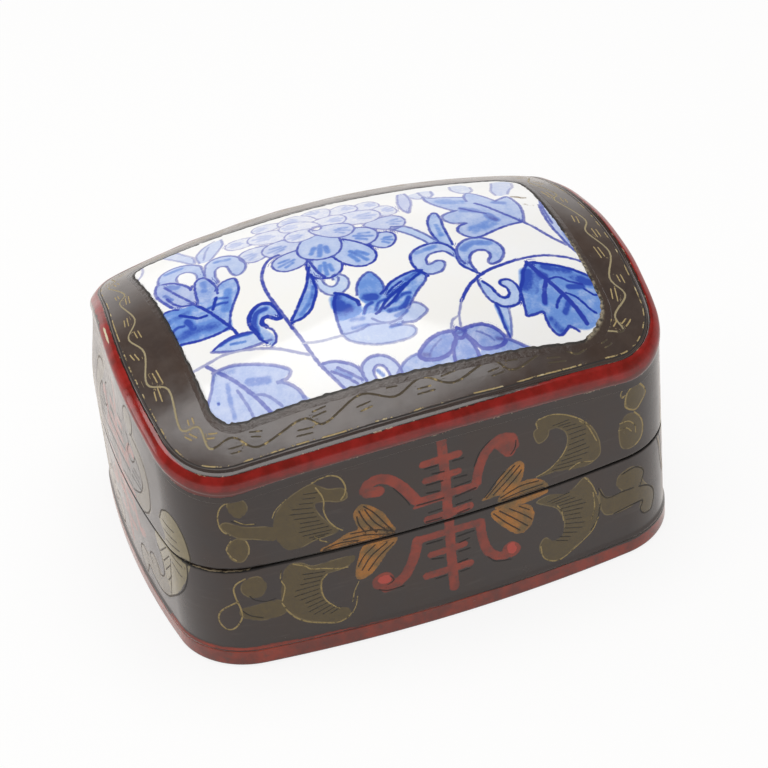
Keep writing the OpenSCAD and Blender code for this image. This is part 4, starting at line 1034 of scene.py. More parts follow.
    (0.42, 0.3, 0.35, [(10.8, -24.8), (11.4, -22.5), (12.5, -20.5), (13.4, -19)]),
    (0.8, 0.3, 0.5, [(13, -19.6), (14, -18.4), (16, -16.3), (18.5, -14.6), (21, -13.4), (24, -12.6),
        (27, -11.9)]),
    (0.62, 0.5, 0.45, [(26, -12.1), (30, -11.6), (33, -11.7), (36, -12.5), (38, -13.5), (40.5, -15)]),
    (0.36, 0.3, 0.35, [(11.4, -22.5), (9.8, -23.2), (8.9, -24.8)]),
    (0.62, 0.2, 0.4, [(17.9, -15.3), (17.8, -18), (18.2, -20.3), (18.9, -21.5), (19, -23.5), (18.7, -26),
        (18.7, -28.7)]),
    (0.85, 0.1, 0.45, [(18.7, -16), (19.6, -17.5), (20, -19), (20.6, -20.3), (21.7, -20.6),
        (22.5, -19.7)]),
    (0.7, 0.2, 0.4, [(22.5, -19.7), (22.4, -18.5), (21.7, -17.5), (21.8, -16.7), (22.9, -16.4), (24, -17),
        (24.6, -18.8), (24.2, -20.8), (23.2, -22.3), (21.5, -22.7), (20, -22.4), (19, -21.4)]),
    (0.4, 0.2, 0.35, [(20.9, -23), (20.3, -25.5), (19.1, -28.6)]),
    (1.0, 0.1, 0.5, [(30.2, -13.2), (28.8, -13.3), (27.2, -15), (26, -17.5), (24.7, -19.5),
        (24.3, -21.5)]),
    (0.8, 0.3, 0.4, [(24.3, -21.4), (23.8, -24), (23.6, -25.2), (25, -25.2), (26.9, -24.9), (26.8, -26.5),
        (27, -28.5), (27.8, -29.9), (29, -29.6), (30.4, -28.5), (31, -28.7), (32, -29.6)]),
    (0.95, 0.1, 0.5, [(29.6, -13.2), (32, -14), (35, -15.2), (37.5, -16.8), (39.8, -18.8)]),
    (1.0, 0.25, 0.7, [(28.8, -13), (29.8, -16), (30.7, -18), (32, -21), (33, -23.6), (33.7, -26),
        (34.1, -28.2)]),
    (1.0, 0.3, 0.6, [(30.5, -18), (29.3, -20), (28.5, -21.8), (28, -23)]),
    (0.92, 0.1, 0.4, [(31.8, -22), (30.5, -23.3), (29.9, -24.4)]),
    (0.8, 0.2, 0.35, [(31.2, -17.8), (33, -17.6), (34.7, -18.9), (36.8, -19.9)]),
    (0.8, 0.0, 0.35, [(33, -21.5), (34.3, -22.4), (35.2, -23.8), (36, -25.5), (36.8, -26.4)]),
    (0.8, 0.0, 0.35, [(36.8, -21), (38, -22.4), (39, -22.6)]),
    # Cut flower and the curls along the front edge
    (0.6, 0.8, 0.55, [(9.2, -25.3), (6.5, -25.2), (4, -26), (2, -27.4), (1.2, -28.4), (2, -29.4),
        (4.5, -29.9), (6.8, -29.4), (8, -28.3), (9.1, -26.8)]),
    (0.6, 0.8, 0.55, [(10.9, -25.4), (14, -25.1), (16, -25.9), (17.4, -27.5), (17.8, -29), (16.8, -29.9),
        (15, -30.2), (12.8, -29.8), (11.8, -28), (11, -26.7)]),
    (0.6, 0.8, 0.55, [(9.2, -26.8), (7.7, -28.6), (7, -31.5)]),
    (0.6, 0.8, 0.55, [(10.9, -26.8), (11.6, -28.6), (11.8, -31.5)]),
    (0.66, 0.8, 0.5, [(10, -24.9), (11.1, -26), (10, -27.1), (8.9, -26), (10, -24.9)]),
    (0.4, 0.5, 0.4, [(1.3, -27.9), (-1, -28.4), (-3, -29.7), (-4.2, -31)]),
    (0.5, 0.6, 0.5, [(17.9, -28.8), (19.5, -30), (21.5, -31.5)]),
    (0.36, 0.4, 0.3, [(6.3, -26.3), (4.2, -27.6), (3, -28.8)]),
    (0.36, 0.4, 0.3, [(13.2, -26.4), (14.8, -27.6), (15.6, -28.8)]),
    (0.52, 0.6, 0.45, [(-16.4, -24.3), (-14, -24.5), (-12, -25.5), (-10.3, -27), (-9.7, -28.6)]),
    (0.5, 0.7, 0.4, [(-14.9, -26.3), (-13, -28), (-11.3, -30)]),
    (0.5, 0.7, 0.4, [(-13.6, -26), (-12, -27.6), (-10.2, -29.6)]),
    (0.5, 0.6, 0.45, [(-9.6, -30), (-9.8, -28.2), (-9, -26.8), (-7.3, -26), (-5.3, -26.3), (-3.8, -27.5),
        (-3, -29.2), (-3, -31.4)]),
    (0.5, 0.6, 0.4, [(-7.7, -31), (-7.8, -29), (-7, -28), (-5.8, -28.3), (-5.3, -29.5), (-5.3, -31)]),
]

# Brushwork on the front wall, listed as (u, height) in millimetres. The back wall carries
# the same. A stroke is (half width, path), a patch is an outline.
RED_STROKES = [
    (1.0, [(0.2, 41.2), (0.4, 33), (0.3, 24.2)]), (1.0, [(0.4, 22.6), (0.3, 15), (0.4, 6.9)]),
    (0.85, [(-3.6, 37.2), (3.2, 37.4)]), (0.75, [(-3.4, 33.4), (2.9, 33.5)]),
    (0.9, [(-5.2, 29.1), (0.4, 29.2), (6, 29)]), (0.4, [(-5.9, 28), (-0.6, 28.3)]),
    (0.9, [(-3.6, 24.4), (-0.5, 24.5)]), (0.95, [(0.4, 24.5), (4.5, 24.8)]),
    (0.85, [(-5.4, 20.3), (0.4, 20.4), (6.4, 20.3)]), (0.75, [(-3.6, 16), (3, 16.3)]),
    (0.85, [(-4.8, 11.3), (0.2, 11.4), (3.8, 11.4)]),
    (1.1, [(-5.6, 29.6), (-6.6, 31.4), (-8.3, 34), (-10.2, 35.9), (-12.4, 36.7), (-14.2, 36)]),
    (1.2, [(-14.2, 36), (-14.8, 34.9)]), (1.2, [(-14.4, 34.2), (-12.4, 33.9)]),
    (1.0, [(6.3, 29.6), (6.8, 32), (8, 35), (9.8, 37.1), (11.8, 38), (13.6, 37.4)]),
    (1.2, [(13.7, 37), (14, 35.4)]), (1.3, [(11.6, 36.6), (12.6, 35.2), (13.2, 34.4)]),
    (1.1, [(-6, 20.2), (-6.5, 18), (-7.5, 15.4), (-9, 12.9), (-11, 11.5), (-12.8, 11.2)]),
    (1.9, [(-13.5, 12.9), (-13, 13.1)]),
    (1.0, [(6.4, 20.2), (6.6, 17), (7.3, 13.6), (8.8, 11.4), (11, 10.5)]),
    (1.7, [(12.1, 11.7), (12.5, 11.3)]),
]
BRIGHT_STROKES = [(1.0, [(-13.2, 13.3), (-12.6, 13.2)]), (0.9, [(12.3, 12.2), (12.5, 11.2)])]
OCHRE_PATCHES = [
    [(-10, 24), (-10.6, 26), (-12, 29), (-13.8, 30.9), (-15.8, 32), (-17.2, 31), (-17.5, 29.5), (-17, 27),
        (-16.4, 25.4), (-13, 24.6)],
    [(-10, 23.7), (-13, 25), (-17, 26.3), (-19, 26.2), (-21.5, 25), (-24.3, 23.9), (-23, 23), (-18, 23),
        (-12, 23)],
    [(-9.8, 22.5), (-10.4, 20.9), (-12, 19.4), (-13.5, 17.3), (-15.3, 15.4), (-17.8, 14.8), (-18.3, 16.5),
        (-17.6, 19.5), (-16.2, 22.5), (-13, 22.9)],
    [(7, 25.1), (9, 26.7), (11, 29.2), (13.3, 31.1), (15, 31.5), (15.9, 30.3), (15.6, 28), (14.5, 26),
        (12.5, 25), (9.5, 25)],
    [(10.3, 23.5), (10.8, 24.8), (13, 25.9), (16.5, 26.6), (19, 25.6), (20.4, 24), (19.8, 22.9),
        (14, 22.9)],
    [(10, 22.9), (10.6, 21.6), (14, 21.2), (19.6, 21.8), (19.6, 22.9)],
    [(8.6, 21.6), (9.5, 19.3), (11.2, 17), (13.2, 15), (15, 14.5), (16.8, 16), (17.4, 18.5), (16.4, 20.6),
        (14, 21.4), (11, 21.9)],
]
OLIVE_PATCHES = [
    [(-24.5, 39.2), (-27, 38.3), (-29.5, 36.7), (-31.5, 34.3), (-32.3, 31.5), (-32, 28.5), (-31, 26.5),
        (-29.8, 25.4), (-27.5, 25.5), (-25, 26.4), (-20.5, 27.2), (-22.2, 29.6), (-23.8, 32.3),
        (-24.2, 34.6), (-22, 34.6), (-20, 33.9), (-18.3, 34.4), (-18.8, 36.6), (-21.5, 37.2),
        (-23.2, 38.4)],
    [(-30.5, 22), (-31.8, 19.5), (-32.4, 16), (-32.3, 13), (-31, 10.5), (-29, 8.5), (-26, 7), (-23, 6.1),
        (-21, 6.3), (-19.8, 7.2), (-20.6, 9), (-22.4, 9.5), (-24.2, 11.5), (-25, 14), (-24.8, 16.5),
        (-23.5, 18), (-21, 18.3), (-18.5, 19.2), (-18.3, 20.8), (-22, 20.8), (-26, 20.6), (-28, 21.8)],
    [(18.7, 38.4), (19.5, 39.3), (22, 39.3), (25, 38.1), (27.6, 36.2), (29.8, 33.8), (31.1, 31.2),
        (31.7, 28.5), (31.4, 26.2), (29, 25), (26, 25.2), (22, 26.2), (18.6, 26.2), (22, 27.8),
        (24.3, 30.3), (25, 32.6), (24.5, 34.6), (23, 36), (21.4, 36.2), (20, 37)],
    [(18.2, 36.6), (19.5, 37.4), (21.2, 36.4), (20.8, 34.6), (19, 34)],
    [(28.2, 22.3), (29.6, 20), (30.4, 17.5), (31.1, 14.5), (30.4, 11.5), (29, 9.2), (26.5, 7.4),
        (24, 5.9), (21.5, 5), (19.4, 6), (18.2, 8), (18.1, 10), (19.3, 11.4), (21, 10), (22.8, 10.6),
        (23.5, 13), (23, 15.5), (21.8, 17.7), (19.6, 19.2), (18, 20.6), (21, 21.2), (24, 20.2),
        (26, 20.9)],
    [(-39.8, 38.8), (-38.2, 39.6), (-36.7, 38.2), (-36.6, 36.2), (-38.2, 34.9), (-39.8, 36.6)],
    [(-41.6, 33), (-40.6, 34.2), (-37, 32.6), (-32.4, 31.4), (-32, 28.4), (-36, 29.6), (-39, 30.6)],
    [(-41, 28.2), (-39.4, 30.2), (-37.4, 29.4), (-37.4, 26.6), (-38.8, 24.8), (-40.6, 25.8)],
    [(-39.6, 18), (-38.8, 20.4), (-36.2, 20.8), (-34.8, 18.6), (-36, 16.2), (-38, 16.2)],
    [(-40.2, 13.6), (-37.5, 14.2), (-33, 14.4), (-32, 11.2), (-36, 10.4), (-39.8, 11.6)],
    [(36, 31), (37.6, 33), (39.8, 32.4), (41.2, 30), (41.2, 27), (39.6, 25.2), (37, 25.3), (36, 27)],
    [(37.6, 36.4), (38.6, 38.6), (40.2, 39), (42.2, 36.6), (41.2, 34.4), (39.6, 33.6), (38, 34.4)],
    [(31.2, 18.2), (32.6, 15.6), (36, 15.6), (34.9, 17.4), (35.6, 19.6), (38.6, 20.4), (41.2, 18.4),
        (41, 16), (42.4, 13.8), (44.2, 12), (44.4, 9.6), (43.4, 7.4), (41, 7.8), (40, 9.6), (40, 11.2),
        (34, 11), (31.6, 12.6)],
]
FRONT_CUTS = [
    (0.2, [(-3.4, 36.2), (-1, 36.2)]), (0.2, [(2, 36.2), (4.1, 36.2)]),
    (0.2, [(-2.1, 34.6), (0.2, 34.4)]), (0.2, [(-3.3, 32.4), (-0.2, 32.4)]),
    (0.2, [(2, 32.2), (4.5, 32.1)]), (0.2, [(-3.5, 30.6), (-1, 30.3)]), (0.2, [(2, 30.2), (5, 30.5)]),
    (0.2, [(-5.5, 28.4), (-0.3, 28.4)]), (0.22, [(2, 27.9), (6, 28.5)]), (0.2, [(-3.3, 26), (-1, 26.1)]),
    (0.2, [(2, 26), (5, 26.2)]), (0.2, [(-4, 24), (-1, 24)]), (0.2, [(2.2, 23.9), (4.5, 24.2)]),
    (0.2, [(-4.3, 18.9), (-1.3, 18.9)]), (0.22, [(1.8, 18.6), (5, 18.8)]), (0.2, [(2, 17), (4, 17.4)]),
    (0.2, [(-3.5, 15), (-1.3, 14.6)]), (0.2, [(1.8, 14.9), (4, 15)]), (0.2, [(1.6, 12.4), (3.4, 12.6)]),
    (0.2, [(-3.1, 10.1), (-1, 10.2)]), (0.2, [(1.8, 10.1), (3.6, 10.2)]),
    (0.16, [(-14.2, 11.2), (-12.4, 10.5), (-9.4, 10.6)]), (0.16, [(7.4, 11.6), (9, 9.9), (12, 9.2)]),
    (0.14, [(6, 33.4), (7.4, 36.4), (9.6, 38.3)]), (0.14, [(-9.6, 33.8), (-7.8, 31), (-6.8, 29)]),
    (0.14, [(-11.8, 13.8), (-11.2, 12.6), (-12.4, 11.9)]),
    (0.14, [(14.6, 36.4), (14.3, 34.8), (13.4, 33.6)]),
    (0.16, [(-10.4, 24), (-12.2, 27), (-13.8, 29.6), (-15.4, 31.4)]),
    (0.16, [(-11.4, 24.4), (-13.8, 27.4), (-15.3, 30.6)]),
    (0.16, [(-13.6, 24.8), (-15.4, 27.8), (-16.4, 30.6)]),
    (0.16, [(-15.6, 25.4), (-16.6, 27.4), (-16.9, 29.4)]),
    (0.16, [(-10.2, 23.9), (-13.6, 25.4), (-18.4, 25.9)]),
    (0.16, [(-10.8, 23.5), (-15.8, 24.8), (-19.8, 24.9)]),
    (0.16, [(-17, 24), (-20.6, 24.4), (-23.6, 23.8)]), (0.14, [(-12.6, 23.3), (-19, 23.5)]),
    (0.16, [(-10.6, 21.4), (-13.4, 19.2), (-15.8, 16.4)]),
    (0.16, [(-11.8, 21.8), (-15, 19.6), (-17, 16.8)]), (0.14, [(-14, 22), (-16.2, 20.2), (-17.6, 18)]),
    (0.16, [(8, 25.4), (11, 28.2), (14, 30.8)]), (0.16, [(9.4, 25.6), (12.4, 28), (15, 30.4)]),
    (0.16, [(11.4, 25.6), (13.8, 27.6), (15.3, 29.2)]), (0.14, [(7.6, 25.6), (9.8, 28.2), (12, 30.2)]),
    (0.16, [(10.8, 24.4), (14.8, 25.6), (18.6, 25.4)]), (0.16, [(11, 23.8), (15, 24.3), (19.4, 24.3)]),
    (0.14, [(12, 23.3), (16, 23.5), (19.6, 23.5)]), (0.16, [(9.2, 21.2), (11.4, 18.4), (14.2, 15.4)]),
    (0.16, [(10.4, 21.4), (13.2, 18.6), (15.8, 15.8)]), (0.16, [(12.4, 21.2), (15, 18.9), (16.8, 17)]),
    (0.14, [(14.4, 21), (16.4, 19.4)]),
    (0.16, [(31, 18.4), (32, 16.2), (33.2, 15.3), (36, 15.5), (38.6, 15.3)]),
    (0.16, [(36.2, 19.6), (38, 20), (39.6, 19.8), (41.2, 18.2), (41, 16.5), (40.2, 15)]),
    (0.18, [(40, 14.9), (42.3, 13.8), (44, 12), (44.4, 10), (43.7, 8), (43, 7.3), (41, 7.8), (40.1, 9.3),
        (40.8, 11), (38, 11.4), (34, 11)]),
    (0.16, [(31.2, 14.6), (30.5, 11.5), (29, 9.2)]),
    (0.14, [(-38.2, 16.6), (-37.4, 15.6), (-35.4, 14.7), (-33.6, 14.9)]),
    (0.14, [(-39.6, 34.5), (-37.5, 33.5), (-35.5, 32.9)]),
    (0.14, [(-40, 13.4), (-38.6, 12), (-36.4, 11)]),
    (0.18, [(46.2, 22.6), (47.2, 20), (47.9, 16.4), (49, 12.6)]),
    (0.18, [(47.8, 22.2), (48.8, 19), (49.4, 15.4), (50.4, 12)]),
]
FRONT_GOLD = [
    (0.17, [(-24.4, 39.4), (-22.5, 40), (-20.8, 40.1), (-19.2, 39.1), (-18.4, 37), (-18.6, 35.4),
        (-19.4, 34.2)]),
    (0.15, [(-23.8, 38.2), (-22.9, 36.2), (-22.6, 34.6), (-22.8, 32.6), (-22.2, 30.2), (-20.9, 28.2),
        (-19.8, 27.2)]),
    (0.15, [(-24.9, 27.2), (-24.2, 26.2), (-22.6, 25.2)]),
    (0.12, [(-32.2, 33.6), (-31.4, 35.2), (-29.4, 37)]),
    (0.15, [(-39.2, 39), (-40.9, 38), (-41.8, 36.3), (-42, 34), (-41.4, 32.2), (-40.2, 31.3)]),
    (0.15, [(-40.2, 29.9), (-41.2, 28), (-40.6, 26.3), (-39.7, 25.3)]),
    (0.11, [(-37.5, 29.5), (-37.1, 28), (-37.3, 26.4)]),
    (0.12, [(-39, 34.5), (-37.4, 33.4), (-35.6, 33)]),
    (0.15, [(-29.6, 22), (-27.5, 21), (-26.3, 19.9), (-24, 19.4), (-21.5, 18.6), (-19.6, 18.4)]),
    (0.13, [(-31.9, 21.2), (-32.2, 19), (-31.6, 17), (-32.4, 14)]),
    (0.15, [(-23.6, 17.9), (-24.7, 16.5), (-24.9, 14), (-24.3, 11.8), (-22.9, 10), (-22, 9.2)]),
    (0.16, [(-32.5, 13.4), (-31.5, 11), (-30, 9), (-28, 7.6), (-25, 6.5), (-22.5, 5.9), (-20.6, 6.6),
        (-19.9, 7.3)]),
    (0.12, [(-18.4, 11), (-18.8, 9), (-19.6, 7.4)]), (0.11, [(-17.8, 14.4), (-18.8, 12.4), (-19.4, 10)]),
    (0.18, [(-38.6, 20.8), (-40.3, 19.8), (-41, 18.3), (-40.7, 16), (-40.2, 14), (-40.1, 12),
        (-40.8, 10.3), (-42, 9), (-43.3, 8.8), (-44.4, 10), (-44.6, 11.8), (-43.6, 13.5), (-41.8, 14.8),
        (-40.4, 15.5)]),
    (0.14, [(19.3, 39.3), (22, 39.4), (25, 38.2), (27.8, 36.1), (29.8, 33.8)]),
    (0.13, [(18.8, 38.6), (19, 37.4)]), (0.13, [(27.6, 35.8), (29.2, 34), (30.2, 31.8), (31, 29.8)]),
    (0.13, [(18.2, 26.4), (21, 27.2), (23.4, 29), (24.8, 31)]),
    (0.12, [(25, 25.4), (27, 26.2), (30.2, 25.4)]), (0.13, [(28.2, 22.2), (29.6, 20), (30.5, 17.4)]),
    (0.15, [(18.3, 9.6), (18.7, 7), (20.4, 5.3), (22.5, 5), (25, 6.2), (27.5, 7.7), (29.4, 9.2),
        (30.7, 11.6)]),
    (0.12, [(22.2, 18), (23, 16.4), (23.3, 14)]), (0.13, [(29.8, 18), (30, 14.6), (29.2, 11.6)]),
    (0.18, [(37.4, 36.4), (37.9, 37.8), (39, 38.8), (40.2, 39.2), (41.3, 38.3), (42.3, 36.8),
        (42.5, 35.6), (41.3, 34.3), (39.8, 33.3), (38.3, 34), (37.4, 35), (37.4, 36.4)]),
    (0.13, [(37.4, 37.6), (36.8, 37.2), (36.5, 38.2), (37.1, 39.2)]),
    (0.17, [(39.4, 32.9), (40.8, 31), (41.5, 29), (41.3, 27), (40.5, 25.8), (39.4, 25.2)]),
    (0.12, [(35.8, 30.1), (37.4, 30.1), (38.6, 28.8)]),
    (0.12, [(36, 31.6), (38, 31.4), (39.4, 29.8), (39.6, 28)]),
    (0.12, [(47, 22.2), (48.1, 18.8), (48.8, 15.6), (49.8, 12.2)]),
]
# Curves between which fine dark lines are hatched: inner curve, outer curve, how many, and how
# far out they start and end
FRONT_HATCHES = [
    ([(-23, 37), (-24, 34), (-23, 31), (-20.6, 28), (-22.6, 27)], [(-28, 37.5), (-31, 34), (-31.5, 31),
        (-30, 28), (-28, 26.4)], 12, 0.12, 0.62),
    ([(-23.5, 18.6), (-24.8, 16), (-24.8, 13), (-22.8, 10.4), (-21.4, 9.6)], [(-31, 19.4), (-32, 16),
        (-31.6, 12), (-28.6, 8.6), (-26, 7.4)], 12, 0.06, 0.62),
    ([(21.5, 36.8), (24, 35.4), (25, 32.4), (23.6, 29), (20.6, 26.8)], [(27, 37), (29.6, 34), (31, 31),
        (31, 28), (30, 25.8)], 12, 0.1, 0.7),
    ([(19.6, 19.6), (22, 18), (23.3, 14.6), (22.8, 11.4), (21.2, 10)], [(28.4, 20.6), (30, 17.6),
        (30.6, 14), (29, 10), (26, 8)], 13, 0.06, 0.6),
]
# The end walls, as (distance from the wall's middle towards its front corner, height)
END_RED = [
    (0.9, [(-7.5, 31), (0, 31.2), (7.6, 30.8)]), (0.8, [(-7, 23.9), (0, 24), (8.4, 24)]),
    (0.9, [(0, 44), (0, 34), (0, 23.6)]), (0.9, [(0, 22.6), (0, 14), (0, 7.4)]),
    (0.8, [(-4.6, 37.4), (4.6, 37.4)]), (0.8, [(-4.4, 34.2), (4.4, 34.2)]),
    (0.8, [(-4.6, 18), (4.6, 18)]), (0.8, [(-4.6, 13.2), (4.6, 13.2)]),
    (0.8, [(-6.4, 21.4), (0, 21.5), (6.4, 21.4)]),
    (1.0, [(6.6, 31), (7.4, 33.4), (9.4, 35.8), (11.4, 35.6)]),
    (1.0, [(-6.6, 31), (-7.4, 33.4), (-9.4, 35.8), (-11.4, 35.6)]),
    (1.0, [(6.4, 21.4), (7, 18.2), (8.8, 15.6), (10.8, 16.4)]),
    (1.0, [(-6.4, 21.4), (-7, 18.2), (-8.8, 15.6), (-10.8, 16.4)]),
]
END_CREAM = [
    [(22.8, 28.5), (24.4, 31.3), (26.9, 33), (29.1, 32.4), (31.1, 29.8), (32.1, 26.5), (32.2, 23.5),
        (30.9, 20), (29.4, 17), (27.4, 14), (24.4, 11), (22.9, 10.3), (21.4, 14), (19.9, 18),
        (18.6, 21.5), (19.9, 23.5), (23.9, 24), (24.4, 26)],
]
END_OLIVE = [
    [(8.4, 42.4), (9.4, 45), (11.8, 46.8), (14.2, 46), (14, 42.6), (15.6, 40.6), (18.4, 38.2), (19.3, 34),
        (19, 29.6), (17.6, 26), (14.4, 23.9), (10, 24.4), (13, 27.6), (15.2, 30.4), (15, 34.4),
        (12.4, 37.6), (11, 40)],
    [(20.4, 17.6), (20.8, 14.4), (19.4, 12), (16, 14.2), (13, 12.6), (9.6, 11.8), (6.6, 10.4), (6.4, 7.4),
        (8.8, 5.2), (11, 8.4), (16, 7), (21, 8.4), (23, 10), (22, 14)],
]
END_CUTS = [
    (0.2, [(23.1, 28.8), (24.9, 31.7), (27.6, 33), (29.9, 31.7), (31.4, 28.7), (32.1, 25), (32, 23.4)]),
    (0.2, [(30.9, 22.6), (30.7, 19.5), (29.4, 16), (26.9, 13), (23.9, 10.5), (22.6, 9.4)]),
    (0.16, [(22.9, 10.4), (23.8, 14), (24.6, 17), (25.4, 20.4)]), (0.16, [(20.4, 19), (23.9, 22.2)]),
    (0.16, [(21.4, 17.3), (24.9, 20.8)]), (0.16, [(21.9, 15.5), (25.1, 18.8)]),
    (0.16, [(22.4, 13.2), (24.6, 15.8)]), (0.14, [(26.4, 22.2), (29.4, 21)]),
    (0.14, [(26, 20.2), (28.9, 18.4)]), (0.14, [(24.6, 29.4), (28.6, 28.8)]),
    (0.14, [(24.6, 27.2), (29, 26.6)]), (0.14, [(25, 25), (29.4, 24.8)]),
    (0.18, [(8, 41.6), (8.8, 44.4), (10.8, 46.4), (13, 46.8), (14.5, 45.4), (14, 43), (12.7, 41),
        (11.6, 40.4)]),
    (0.2, [(12.2, 40.9), (15, 40), (17.5, 38.7), (19, 36.5), (19.4, 33.5), (19, 30), (17.9, 27),
        (16, 24.9), (13, 23.2)]),
    (0.18, [(8.4, 38.8), (9.9, 37.3), (8.6, 35.6), (8, 34), (9.9, 33), (12, 34.3), (13, 35.9),
        (14.8, 34.3), (15.6, 32), (15, 30), (13.4, 28), (10.8, 26.5), (8.4, 25.5)]),
    (0.14, [(10.8, 32), (14.4, 31.8)]), (0.14, [(8.8, 29), (13.8, 28.9)]),
    (0.14, [(9.6, 30.6), (14.2, 30.2)]),
    (0.18, [(19, 19.6), (20.5, 17.5), (20.7, 14.5), (19.7, 12.3), (17.8, 11.4), (16.9, 13), (15.4, 14.3),
        (13.6, 13.8), (12.6, 12.3), (13.6, 11)]),
    (0.2, [(11, 11.1), (8.4, 11.7), (6.6, 10.5), (6.1, 8.5), (6.9, 6.3), (8.6, 5.2), (9.6, 6.8),
        (11, 8.5), (14, 7.2), (17.4, 7), (21, 8.3), (22.9, 9.7)]),
    (0.14, [(0, 33), (7, 33.2)]), (0.14, [(2, 38.8), (5, 38.8)]), (0.14, [(2, 35.8), (4.8, 35.8)]),
    (0.14, [(0, 29.6), (8, 29.2)]), (0.14, [(2, 25.6), (8, 25.8)]),
]


def smooth_path(points, closed=False, steps=6):
    """A curve through given points: each span is the cubic that leaves and meets its ends
    along half the step between their neighbours."""
    p = np.array(points, float)
    if closed:
        p = np.concatenate([p[-1:], p, p[:2]])
    else:
        p = np.concatenate([2 * p[:1] - p[1:2], p, 2 * p[-1:] - p[-2:-1]])
    a, b, c, d = p[:-3], p[1:-2], p[2:-1], p[3:]
    t = (np.arange(steps) / steps)[:, None, None]
    spans = 2 * b + (c - a) * t + (2 * a - 5 * b + 4 * c - d) * t ** 2 + (3 * b - a - 3 * c + d) * t ** 3
    curve = spans.transpose(1, 0, 2).reshape(-1, 2) / 2
    return np.concatenate([curve, p[-2:-1]])


def spread(path, count):
    """Points at even lengths along a path."""
    at = np.concatenate([[0], np.cumsum(np.hypot(*np.diff(path, axis=0).T))])
    s = np.linspace(0, at[-1], count)
    return np.stack([np.interp(s, at, path[:, 0]), np.interp(s, at, path[:, 1])], -1)


def oval(x, y, long, wide, turn):
    """The outline of an ellipse turned by an angle in degrees."""
    t = np.linspace(0, 2 * math.pi, 40)
    a = math.radians(turn)
    px = long * np.cos(t)
    py = wide * np.sin(t)
    x = x + px * math.cos(a) - py * math.sin(a)
    y = y + px * math.sin(a) + py * math.cos(a)
    return np.stack([x, y], -1)


def within(points, path):
    """Whether points are inside a closed path: a level ray from one that is inside crosses the
    path an odd number of times."""
    a = path[:-1]
    b = path[1:]
    above = (a[None, :, 1] > points[:, None, 1]) != (b[None, :, 1] > points[:, None, 1])
    rise = np.where(np.abs(b[:, 1] - a[:, 1]) < 1e-9, 1e-9, b[:, 1] - a[:, 1])
    cross = a[None, :, 0] + (points[:, None, 1] - a[None, :, 1]) / rise * (b - a)[None, :, 0]
    return (above & (points[:, None, 0] < cross)).sum(1) % 2 == 1


def petal(root, tip, wide):
    """A petal's outline: its half width grows with the power 0.6 of the way from the root, and
    closes at the tip with the root of one less the cube of the way."""
    share = np.sin(np.linspace(0, math.pi / 2, 17))
    half = 0.95 * wide * share ** 0.6 * np.sqrt(np.maximum(1 - share ** 3, 0))
    root = root + 0.3 * (np.array(root, float) - tip)
    along = tip - root
    side = np.array([-along[1], along[0]]) / np.hypot(*along)
    left = root + along * share[:, None] + side * half[:, None]
    right = root + along * share[:, None] - side * half[:, None]
    return np.concatenate([left, right[-2::-1]])


